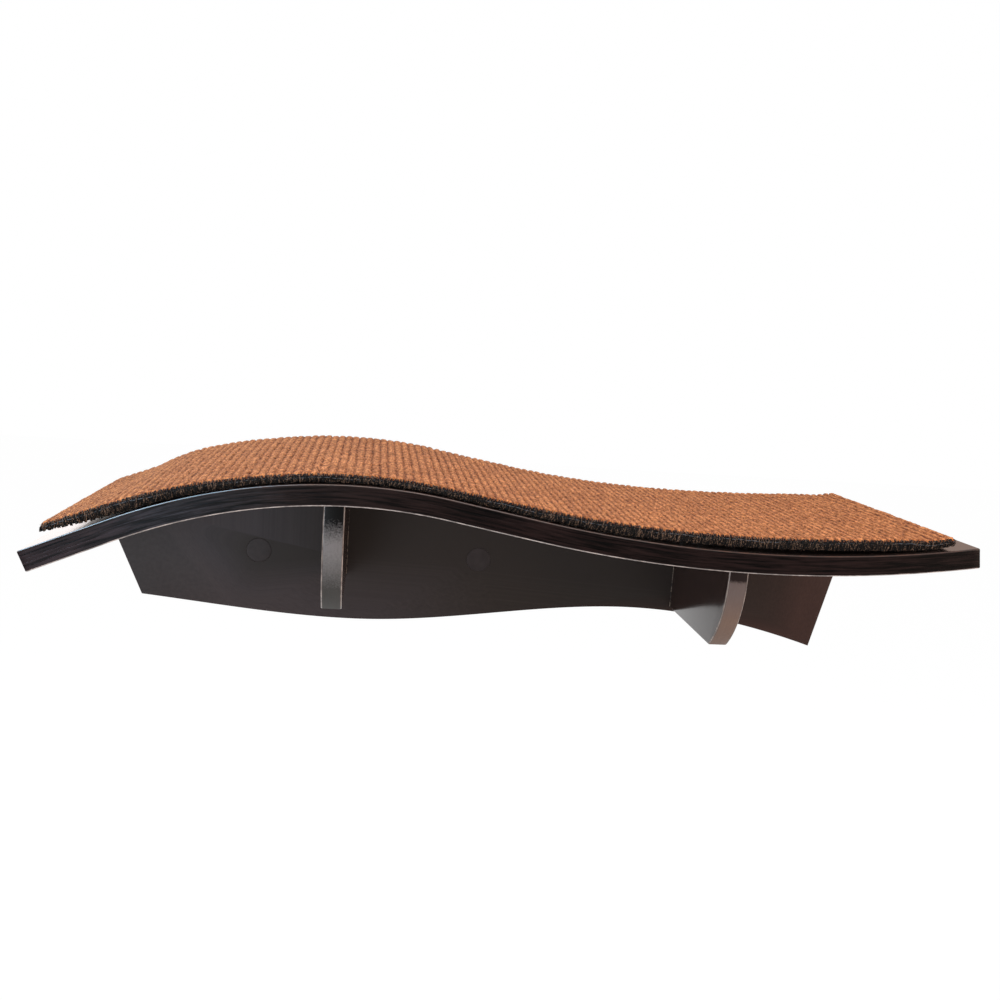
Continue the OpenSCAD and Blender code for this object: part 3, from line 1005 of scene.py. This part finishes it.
def mat_rise(s):
    """How far the mat's underside stands off the board."""
    end = END_LIFT * np.maximum(0, 1 - (s - MAT_S0) / END_LIFT_RUN) ** LIFT_POWER
    bridge = np.clip((s - FALL_S) / (MAT_S1 - END_REST - FALL_S), 0, 1) ** BRIDGE_SKEW
    right = RIGHT_LIFT * np.maximum(0, 1 - (MAT_S1 - s) / RIGHT_LIFT_RUN)
    return MAT_BASE + end + right + TROUGH_LIFT * np.sin(pi * bridge) ** BRIDGE_POWER


def back_lift(s, y):
    """How far the mat's back edge stands higher than its front edge."""
    start_share = np.clip((s - BACK_LIFT_FROM) / BACK_LIFT_RUN, 0, 1)
    start = start_share**2 * (3 - 2 * start_share)
    fade = 1 - BACK_LIFT_LOSS * (s - MAT_S0) / (MAT_S1 - MAT_S0)
    front_share = np.clip((MAT_BACK - y) / (MAT_BACK - MAT_FRONT), 0, 1)
    return BACK_LIFT * start * fade * (1 - front_share**2)


def mat_place(s, y, height):
    """Point of the mat at a height above its underside. Its left end is cut plumb."""
    shear = END_SHEAR * height * np.exp(-(s - MAT_S0) / END_SHEAR_RUN)
    return at_y(board_point(s + shear, -(mat_rise(s) + back_lift(s, y) + height)), y)


def make_backing(material):
    chamfer = BACKING_CHAMFER
    levels = [(BACKING_T, 0, 0, 0), (chamfer, 0, 0, 0), (0, chamfer, chamfer, 0)]
    shape = slab(
        Shape(), mat_place, INNER_S0, INNER_S1, INNER_FRONT, INNER_BACK, levels, PLAN_CORNER
    )
    return shape.piece("backing", "mat", "mat_backing", [material], ["mat_backing"])


def furrow_gap(furrow, y):
    """How far each furrow between two ribs stands open, from 0 to 1, in pits that are staggered."""
    furrows = furrow.max() + 1
    pits = int((MAT_BACK - MAT_FRONT) / PIT_PITCH) + SPARE_PITS
    stagger = 0.5 * (np.arange(furrows) % 2) + rng.normal(0, PIT_JITTER, furrows)
    turn = (y - MAT_FRONT) / PIT_PITCH + stagger[furrow]
    pit = np.clip(np.rint(turn).astype(int), 0, pits - 1)
    shift = rng.normal(0, PIT_JITTER, (furrows, pits))[furrow, pit]
    depth = rng.uniform(0, 1, (furrows, pits))[furrow, pit] ** PIT_UNEVEN
    wave = np.cos(2 * pi * (turn - pit + shift))
    return depth * np.clip((wave - PIT_FROM) / PIT_RUN, 0, 1)


def make_pile(material):
    """Ribs of loops that run from back to front, closed by an underside of strips with two wide ends."""
    s0, s1 = INNER_S0 - PILE_UNDER_BINDING, INNER_S1 + PILE_UNDER_BINDING
    y0, y1 = INNER_FRONT - PILE_UNDER_BINDING, INNER_BACK + PILE_UNDER_BINDING
    ribs = round((s1 - s0) / RIB_PITCH)
    loops = round((y1 - y0) / LOOP_PITCH)
    cols = ribs * RIB_SAMPLES + 1
    rows = loops * LOOP_SAMPLES + 1
    u = np.linspace(0, ribs, cols)[None, :]
    v = np.linspace(0, loops, rows)[:, None]
    rib = np.minimum(u.astype(int), ribs - 1)
    across = u - rib
    turn = v + rng.uniform(0, 1, ribs)[rib] + LOOP_SLANT * (across - 0.5)
    loop = np.clip(np.floor(turn).astype(int), 0, loops + 1)
    size = (ribs, loops + 2)
    shade = rng.uniform(0, 1, size)[rib, loop]
    tall = 1 - LOOP_UNEVEN * rng.uniform(0, 1, size)[rib, loop] ** 2
    sway = rng.normal(0, LOOP_SWAY, size)[rib, loop]
    ridge = np.abs(np.sin(pi * across)) ** RIDGE_POWER
    knuckle = np.abs(np.sin(pi * turn)) ** KNUCKLE_POWER
    open_share = furrow_gap(np.rint(u).astype(int), y0 + (y1 - y0) * v / loops)
    shut = FURROW_LEFT + (FURROW_RIGHT - FURROW_LEFT) * (u / ribs) ** FURROW_POWER
    gap = shut + (1 - shut) * open_share
    height = tall * (1 - gap * (1 - ridge)) * (1 - LOOP_DIP + LOOP_DIP * knuckle)
    s = s0 + (s1 - s0) * u / ribs + sway * ridge + rng.normal(0, PILE_JITTER, (rows, cols))
    y = y0 + (y1 - y0) * v / loops + rng.normal(0, PILE_JITTER, (rows, cols))
    s = np.clip(s, s0, s1)
    y = np.clip(y, y0, y1)
    tuck = FRONT_TUCK + (1 - FRONT_TUCK) * np.clip((y - y0) / FRONT_TUCK_RUN, 0, 1)
    top = BACKING_T + (PILE_T + PILE_OVER - RIB_H + RIB_H * height) * tuck
    border = grid_border(rows, cols)
    rim = np.arange(len(border))
    rim_s, rim_y = s.ravel()[border], y.ravel()[border]
    foot = mat_place(rim_s, rim_y, np.full(len(rim), BACKING_T))
    under = rows * cols
    after = np.roll(rim, -1)
    faces = list(quads(rows, cols))
    faces += list(stacked(border, under + rim, under + after, border[after]))
    front = under + np.arange(cols)
    back = under + (cols + rows - 2) + np.arange(cols - 1, -1, -1)
    faces += list(stacked(front[1:-2], back[1:-2], back[2:-1], front[2:-1]))
    right = under + np.arange(cols - 2, cols + rows)
    left = under + np.concatenate([np.arange(2 * cols + rows - 4, len(rim)), [0, 1]])
    faces += [right, left]
    verts = np.concatenate([mat_place(s, y, top).reshape(-1, 3), foot])
    grain = np.concatenate([stacked(s, y, top).reshape(-1, 3), stacked(rim_s, rim_y, 0)])
    height = np.concatenate([height.ravel(), 0 * rim_s])
    shade = np.concatenate([shade.ravel(), 0 * rim_s])
    shape = Shape().add(verts, faces, grain=grain, height=height, shade=shade)
    return shape.piece("pile", "mat", "carpet", [material], ["mat_carpet"], sharp=pi)


# Edge of the mat

def perimeter(pitch):
    """Stations round the mat's inner edge: S, Y and the outward direction at each."""
    s0, s1 = INNER_S0 + EDGE_CORNER, INNER_S1 - EDGE_CORNER
    y0, y1 = INNER_FRONT + EDGE_CORNER, INNER_BACK - EDGE_CORNER
    centres = np.array([(s0, y0), (s1, y0), (s1, y1), (s0, y1)])
    straight = np.array([s1 - s0, y1 - y0, s1 - s0, y1 - y0])
    ends = np.cumsum(straight + EDGE_CORNER * pi / 2)
    count = int(ends[-1] / pitch)
    run = np.arange(count) * ends[-1] / count
    side = np.searchsorted(ends, run, "right")
    run = (run - np.concatenate([[0], ends])[side])[:, None]
    length = straight[side][:, None]
    way = np.array([(1, 0), (0, 1), (-1, 0), (0, -1)])[side]
    out = way[:, ::-1] * (1, -1)
    turn = np.maximum(0, run - length) / EDGE_CORNER
    outward = np.cos(turn) * out + np.sin(turn) * way
    return centres[side] + np.minimum(run, length) * way + EDGE_CORNER * outward, outward


def edge_place(points, outward, out, height):
    """Points of the mat's edge, a distance out from its inner edge and a height above its underside."""
    flat = points + outward * np.asarray(out)[..., None]
    return mat_place(flat[..., 0], flat[..., 1], height)


def at_front(outward):
    return outward[:, 1] < -0.5


def slack(s):
    """How far the stitches hang below the mat where it stands off the board."""
    left = np.clip((s - SLACK_FROM) / SLACK_RUN, 0, 1)
    right = np.clip((MAT_S1 - s) / SLACK_RUN, 0, 1) ** 0.5
    return np.minimum(SLACK, mat_rise(s) + WRAP_LOW - SLACK_CLEAR) * (left * right)


def make_binding(material):
    shape = Shape()
    edge_core(shape)
    edge_stitches(shape)
    edge_fuzz(shape)
    return shape.piece("edge_binding", "mat", "edge_yarn", [material], ["mat_binding"], sharp=pi)


def edge_core(shape):
    """Plain band inside the stitches."""
    points, outward = perimeter(CORE_PITCH)
    hang = CORE_HANG * slack(points[:, 0]) * at_front(outward)
    ring = [edge_place(points, outward, out, h - hang * (h == CORE_LOW)) for out, h in CORE_OUTLINE]
    ring = np.stack(ring, 1)
    faces = quads(*ring.shape[:2], wrap_rows=True, wrap_cols=True)
    shape.add(ring, faces, grain=ring, shade=np.zeros(ring.shape[:2]))


def edge_stitches(shape):
    """Yarn round the edge, one closed ring to a stitch."""
    points, outward = perimeter(STITCH_PITCH)
    count = len(points)
    turn = np.linspace(0, 2 * pi, STITCH_POINTS, endpoint=False)
    power = 2 / WRAP_POWER
    unit_out = np.sign(np.cos(turn)) * np.abs(np.cos(turn)) ** power
    unit_up = np.sign(np.sin(turn)) * np.abs(np.sin(turn)) ** power
    front = at_front(outward)
    low = WRAP_LOW - slack(points[:, 0]) * front * rng.uniform(*SLACK_SHARES, count)
    top = np.where(front, WRAP_TOP, REAR_WRAP_TOP) + rng.normal(0, WRAP_TOP_JITTER, count)
    half = (top - low) / 2 - YARN_R
    wide = rng.uniform(*WRAP_W_SHARES, (count, 1))
    lean = rng.normal(STITCH_LEAN, STITCH_LEAN_JITTER, (count, 1)) * unit_up
    lean = lean + rng.normal(0, STITCH_WAVER, lean.shape)
    out = BINDING_W + WRAP_PROUD - YARN_R - WRAP_HALF_W + WRAP_HALF_W * unit_out * wide
    up = ((top + low) / 2)[:, None] + half[:, None] * unit_up
    out = out + rng.normal(0, YARN_JITTER, out.shape)
    up = up + rng.normal(0, YARN_JITTER, up.shape)
    way = stacked(-outward[:, 1], outward[:, 0])
    at = points[:, None] + way[:, None] * lean[..., None]
    centres = edge_place(at, outward[:, None], out, up)
    lift = unit(centres - centres.mean(1, keepdims=True))
    step = np.roll(centres, -1, 1) - np.roll(centres, 1, 1)
    across = unit(np.cross(step, lift))
    radius = rng.uniform(*YARN_R_SHARES, count) * YARN_R
    verts, faces = tubes(centres, across, lift, radius, YARN_SIDES)
    shade = POINT_SHADE * rng.uniform(0, 1, up.shape) + STITCH_SHADE * rng.uniform(0, 1, (count, 1))
    shape.add(verts, faces, grain=verts, shade=np.repeat(shade.ravel(), YARN_SIDES))


def edge_fuzz(shape):
    """Stray fibres of the edge yarn, as thin closed spikes."""
    points, outward = perimeter(FUZZ_PITCH)
    pick = rng.integers(0, len(points), FUZZ_COUNT)
    points, outward = points[pick], outward[pick]
    front = at_front(outward)
    top = np.where(front, WRAP_TOP, REAR_WRAP_TOP) - FUZZ_BELOW_TOP
    low = WRAP_LOW + FUZZ_ABOVE_LOW - slack(points[:, 0]) * front
    height = low + rng.uniform(0, 1, FUZZ_COUNT) * (top - low)
    roots = edge_place(points, outward, BINDING_W - YARN_R, height)
    way = rng.normal(0, FUZZ_SPREAD, (FUZZ_COUNT, 3))
    way[:, :2] += outward * FUZZ_OUT
    way = unit(way)
    side = unit(np.cross(way, SKEW))
    other = np.cross(way, side)
    corners = []
    for turn in (0, 2 * pi / 3, 4 * pi / 3):
        corners.append(roots + FUZZ_R * (cos(turn) * side + sin(turn) * other))
    corners.append(roots + way * rng.uniform(*FUZZ_LEN, (FUZZ_COUNT, 1)))
    verts = np.stack(corners, 1)
    spike = [(0, 1, 2), (0, 3, 1), (1, 3, 2), (2, 3, 0)]
    faces = copies(spike, FUZZ_COUNT, len(corners))
    shape.add(verts, faces, grain=verts, shade=np.repeat(rng.uniform(0, 1, FUZZ_COUNT), len(corners)))


def make_thread(material):
    """Sewing thread that shows here and there between the stitches of the edge."""
    points, outward = perimeter(THREAD_PITCH)
    run = np.arange(len(points)) * THREAD_PITCH
    dip = np.abs(np.sin(pi * run / THREAD_STITCH)) ** 0.5
    long_wave, short_wave = THREAD_STRAY_WAVES
    stray = np.sin(run / long_wave) + np.sin(run / short_wave + THREAD_STRAY_SHIFT)
    out = BINDING_W + WRAP_PROUD - THREAD_SUNK + THREAD_RISE * dip
    out = out + THREAD_STRAY * np.clip(stray, *THREAD_STRAY_RANGE)
    height = np.full_like(run, THREAD_H)
    for size, length in THREAD_WAVES:
        height += size * np.sin(run / length)
    centres = edge_place(points, outward, out, height)
    step = unit(np.roll(centres, -1, 0) - np.roll(centres, 1, 0))
    lift = unit(np.cross(step, (0, 0, 1.0)))
    across = np.cross(step, lift)
    verts, faces = tubes(centres[None], across[None], lift[None], np.array([THREAD_R]), THREAD_SIDES)
    shape = Shape().add(verts, faces, grain=verts, shade=np.zeros(len(run) * THREAD_SIDES))
    return shape.piece("seam_thread", "mat", "edge_yarn", [material], sharp=pi)


# Hook and loop strips

STRIP_BACK = -(BOARD_DEPTH - STRIP_LEN) / 2
STRIP_FRONT = STRIP_BACK - STRIP_LEN


def strip_spans():
    for share in STRIP_SHARES:
        middle = MAT_END_MARGIN + (END_S - 2 * MAT_END_MARGIN) * share
        yield middle - STRIP_W / 2, middle + STRIP_W / 2


def add_hooks(shape, s0, s1):
    """Rows of small bent hooks on one strip, as closed prisms that lean to the front or the back."""
    grid_s = np.arange(s0 + HOOK_PITCH / 2, s1 - HOOK_PITCH / 4, HOOK_PITCH)
    grid_y = np.arange(STRIP_FRONT + HOOK_PITCH / 2, STRIP_BACK - HOOK_PITCH / 4, HOOK_PITCH)
    s, y = np.meshgrid(grid_s, grid_y)
    s = (s + rng.normal(0, HOOK_JITTER, s.shape)).reshape(-1, 1)
    y = y.reshape(-1, 1)
    lean = np.where(rng.uniform(size=s.shape) < 0.5, -1.0, 1.0)
    square = HOOK_HALF_W * np.array([(-1, -1), (1, -1), (1, 1), (-1, 1)])
    run, rise = np.repeat(HOOK_STEM, len(square), 0).T
    side_s, side_y = np.tile(square, (len(HOOK_STEM), 1)).T
    depth = -GLUE_T - STRIP_BASE_T * HOOK_ROOT_SHARE - rise
    verts = board_place(s + side_s, y + lean * run + side_y, depth)
    faces = copies(loft_faces(len(HOOK_STEM), len(square)), len(s), len(run))
    shape.add(verts, faces, wear=np.zeros(verts.shape[:2]), grain=verts)


def make_hook_strips(material):
    shape = Shape()
    top = -GLUE_T - STRIP_BASE_T
    base = [(top, STRIP_ROUND, STRIP_ROUND, 0), (top + STRIP_ROUND, 0, 0, 0), (-GLUE_T, 0, 0, 0)]
    for s0, s1 in strip_spans():
        slab(shape, board_place, s0, s1, STRIP_FRONT, STRIP_BACK, base, STRIP_CORNER, STRIP_STEP)
        add_hooks(shape, s0, s1)
    shape.piece("hook_strips", "shelf", "hook_strip", [material], ["board_hook_strips"])


def make_loop_strips(material):
    shape = Shape()
    size = rows, cols = LOOP_STRIP_ROWS, LOOP_STRIP_COLS
    u = np.linspace(0, 1, cols)[None, :]
    v = np.linspace(0, 1, rows)[:, None]
    rim = (u == 0) | (u == 1) | (v == 0) | (v == 1)
    grid = quads(rows, cols)
    under = rows * cols
    border = grid_border(rows, cols)
    after = np.roll(border, -1)
    sides = stacked(border, border + under, after + under, after)
    faces = np.concatenate([grid, grid[:, ::-1] + under, sides])
    for s0, s1 in strip_spans():
        s = s0 + (s1 - s0) * u + np.zeros(size)
        y = STRIP_FRONT + STRIP_LEN * v + np.zeros(size)
        fuzz = rng.uniform(*LOOP_FUZZ_SHARES, size) * (STRIP_T - STRIP_BASE_T)
        low = -GLUE_T - STRIP_BASE_T - np.where(rim, 0.0, fuzz)
        verts = np.stack([mat_place(s, y, np.full(size, -GLUE_T)), mat_place(s, y, low)])
        shape.add(verts, faces, grain=verts)
    return shape.piece("loop_strips", "mat", "loop_strip", [material], ["mat_loop_strips"])


# Painted light and shade, multiplied into the stained colour: shares from left to right, over a span of
# X on the panel and of the run on the ply edge
PANEL_PAINTED_LIGHT_SPAN = (-400, 380)
# Panel: cool painted sheen at the left, painted shade in the middle under the crest, warm painted light
# at the right
PANEL_PAINTED_LIGHT = (
    (0.0, (0.76, 0.82, 0.8, 1)),
    (0.14, (0.98, 1.0, 1.0, 1)),
    (0.3, (0.82, 0.85, 0.87, 1)),
    (0.52, (0.51, 0.51, 0.44, 1)),
    (0.84, (0.55, 0.44, 0.37, 1)),
    (0.96, (0.82, 0.58, 0.48, 1)),
)
EDGE_PAINTED_SHEEN_SPAN = (0, 420)
# Ply edge: a cool painted sheen over the left part, painted shade towards the right
EDGE_PAINTED_SHEEN = (
    (0.0, (0.42, 0.33, 0.35, 1)),
    (0.15, (0.55, 0.46, 0.48, 1)),
    (0.3, (0.6, 0.67, 0.76, 1)),
    (0.45, (0.52, 0.53, 0.54, 1)),
    (0.58, (0.28, 0.21, 0.18, 1)),
    (1.0, (0.25, 0.16, 0.14, 1)),
)
VENEER_STREAK = (0.012, 0.35, 0.8)


def make_woodwork():
    veneer = (srgb(26, 18, 16), srgb(42, 31, 28))
    face = lacquer(
        "veneer_lacquer", *veneer, srgb(78, 48, 35), VENEER_STREAK,
        rough=0.12, shine=0.35, coat=0.1, relief=0.000004,
    )
    # Near-white underside arrises: partly wear, partly a painted reflection of the white floor
    under_face = lacquer(
        "underside_lacquer", *veneer, srgb(226, 208, 200), VENEER_STREAK,
        rough=0.2, shine=0.5,
    )
    # The ply edge's colour carries a painted cool sheen along its run
    edge = lacquer(
        "ply_edge_lacquer", srgb(10, 9, 9), srgb(70, 63, 65), srgb(90, 70, 62), (0.02, 0.5, 0.45),
        rough=0.32, shine=0.045, spread=0.08, along=(*EDGE_PAINTED_SHEEN_SPAN, EDGE_PAINTED_SHEEN),
    )
    # The panel's colour carries painted light and shade along its length
    panel = lacquer(
        "panel_lacquer", srgb(68, 59, 59), srgb(77, 67, 67), srgb(60, 42, 36), (0.2, 0.22, 0.4),
        rough=0.38, shine=0.09, relief=0.000008, along=(*PANEL_PAINTED_LIGHT_SPAN, PANEL_PAINTED_LIGHT),
    )
    # Pale bracket arrises: partly wear, partly a painted highlight
    bracket = lacquer(
        "bracket_lacquer", srgb(50, 36, 32), srgb(68, 50, 45), srgb(190, 170, 158), (0.04, 0.3, 0.4),
        rough=0.15, shine=0.5, relief=0.000001,
    )
    # Front edges: painted light, the board's painted shadow at the top and painted shade at the bottom
    left_edge = edge_with_painted_shadow(
        "left_edge_painted_shadow",
        srgb(9, 7, 6), srgb(139, 134, 133), srgb(74, 71, 68), srgb(160, 140, 126),
        ragged=0.16, lit_from=0.72, lit_to=1.32,
    )
    right_edge = edge_with_painted_shadow(
        "right_edge_painted_shadow",
        srgb(42, 32, 30), srgb(123, 109, 105), srgb(130, 108, 96), srgb(186, 166, 154),
        ragged=0.03, lit_from=0.93, lit_to=1.07,
    )
    joint = filler(srgb(22, 17, 15), srgb(150, 134, 120))
    make_board(face, under_face, edge)
    make_panel(panel)
    make_bracket("left", LEFT_PAINTED_SHADOW, bracket, left_edge, joint)
    make_bracket("right", RIGHT_PAINTED_SHADOW, bracket, right_edge, joint)


def make_caps():
    material = plastic("cap_plastic", srgb(55, 48, 47), srgb(63, 55, 54), rough=0.36)
    for side in CAPS:
        make_cap(side, material)


def make_mat():
    """The mat, which is one sheet of several layers, and the strips that hold it."""
    backing = make_backing(felt("backing_felt", srgb(24, 21, 20), srgb(52, 46, 43), scale=0.5))
    pile = make_pile(carpet())
    edge_yarn = yarn("binding_yarn", srgb(8, 6, 5), srgb(22, 17, 15), srgb(116, 91, 74), speck_from=0.57)
    binding = make_binding(edge_yarn)
    thread_yarn = yarn("thread_yarn", srgb(58, 59, 63), srgb(104, 106, 112), srgb(150, 152, 158))
    thread = make_thread(thread_yarn)
    make_hook_strips(felt("hook_nylon", srgb(12, 12, 12), srgb(30, 30, 31), scale=1.5))
    loop_strips = make_loop_strips(felt("loop_nylon", srgb(14, 14, 14), srgb(36, 36, 37), scale=1.2))


def dress_fasteners():
    """Gives the screws and dowels of the frame their materials."""
    finishes = {"screws": zinc(), "dowels": beech()}
    for node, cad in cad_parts.items():
        finish = finishes.get(node.split("_")[-1])
        if finish:
            cad.data.materials.clear()
            cad.data.materials.append(finish)


# Studio

FLOOR_Z = -0.75
FLOOR_HALF = 7.0
FLOOR_GLOW = 1.075
FLOOR_GLOW_SHARE = 0.9
WORLD_LIGHT = 0.33
CAMERA_AT = Vector((-0.1435, -1.1751, 0.2594))
CAMERA_YAW = radians(7.3936)
CAMERA_PITCH = radians(-9.1154)
CAMERA_ROLL = radians(4.1149)
FOCAL_SHARE = 1.006534
SENSOR_MM = 36


def make_camera():
    data = bpy.data.cameras.new("camera")
    data.sensor_width = SENSOR_MM
    data.lens = SENSOR_MM * FOCAL_SHARE
    camera = new_object("camera", data)
    yaw = Matrix.Rotation(-CAMERA_YAW, 4, "Z")
    pitch = Matrix.Rotation(pi / 2 + CAMERA_PITCH, 4, "X")
    roll = Matrix.Rotation(CAMERA_ROLL, 4, "Z")
    camera.matrix_world = Matrix.Translation(CAMERA_AT) @ yaw @ pitch @ roll
    bpy.context.scene.camera = camera


def seen_directly(nodes):
    """1 for rays from the camera, from reflections and through glass, else 0."""
    path = nodes.node("LightPath").outputs
    either = nodes.math("MAXIMUM", path["Is Camera Ray"], path["Is Glossy Ray"])
    return nodes.math("MAXIMUM", either, path["Is Transmission Ray"])


def make_world():
    world = bpy.data.worlds.new("studio")
    bpy.context.scene.world = world
    world.use_nodes = True
    nodes = Nodes(world.node_tree)
    lit = nodes.node("Background", {"Color": WHITE, "Strength": WORLD_LIGHT})
    seen = nodes.node("Background", {"Color": WHITE, "Strength": 1.0})
    nodes.show("World Output", nodes.blend(seen_directly(nodes), lit, seen))


def flat_card(name, width, height, z, material):
    x, y = width / 2, height / 2
    mesh = new_mesh(name, [(-x, -y, z), (x, -y, z), (x, y, z), (-x, y, z)], [(0, 1, 2, 3)])
    mesh.materials.append(material)
    return new_object(name, mesh)


def make_floor():
    """Pale floor that is white to the camera and still takes a soft shadow."""
    f = Finish("pale_floor", Base_Color=(0.7, 0.7, 0.7, 1), Roughness=0.9, Specular_IOR_Level=0.1)
    glow = f.node("Emission", {"Strength": FLOOR_GLOW})
    share = f.math("MULTIPLY", seen_directly(f), FLOOR_GLOW_SHARE)
    f.show("Material Output", f.blend(share, f.shader, glow))
    floor = flat_card("floor", 2 * FLOOR_HALF, 2 * FLOOR_HALF, FLOOR_Z, f.material)


def aim(made, place, axis):
    """Puts an object that the camera doesn't see at a place, and turns it to the middle of the shelf."""
    made.location = place
    made.rotation_mode = "QUATERNION"
    made.rotation_quaternion = (-Vector(place)).to_track_quat(axis, "Y")
    made.visible_camera = False


def softbox(name, place, width, height, power, colour):
    data = bpy.data.lights.new(name, "AREA")
    data.shape = "RECTANGLE"
    data.size = width
    data.size_y = height
    data.energy = power
    data.color = colour
    lamp = new_object(name, data)
    aim(lamp, place, "-Z")
    return lamp


def make_card(name, place, width, height, colour):
    """Card that only reflections see."""
    f = Finish(name)
    f.show("Material Output", f.node("Emission", {"Color": colour}))
    card = flat_card(name, width, height, 0, f.material)
    aim(card, place, "Z")
    card.visible_diffuse = False
    card.visible_shadow = False


def make_lamps():
    softbox("key", (0.15, -1.3, 1.7), 1.4, 1.4, power=29, colour=(1.0, 0.99, 0.97))
    softbox("cool_sky", (-1.12, -0.3, 1.0), 1.6, 0.35, power=12, colour=(0.6, 0.82, 1.0))
    sheen = softbox("cool_card", (-0.97, -0.3, 1.12), 1.6, 1.0, power=82, colour=(0.42, 0.74, 1.0))
    sheen.visible_diffuse = False
    softbox("cool_front", (-0.62, -1.38, -0.25), 0.5, 0.5, power=5.5, colour=(0.8, 0.9, 1.0))
    softbox("warm_side", (1.5, -1.2, 0.1), 0.8, 0.8, power=11, colour=(1.0, 0.72, 0.56))
    make_card("glare_left", (-1.0, 1.6, 0.0), 1.0, 1.0, colour=(1.7, 1.57, 1.53, 1))
    make_card("glare_right", (1.35, 1.7, 0.78), 1.5, 1.3, colour=(0.8, 0.58, 0.49, 1))


make_camera()
make_woodwork()
make_caps()
make_mat()
dress_fasteners()
make_world()
make_floor()
make_lamps()
bpy.context.scene.view_settings.view_transform = "Standard"
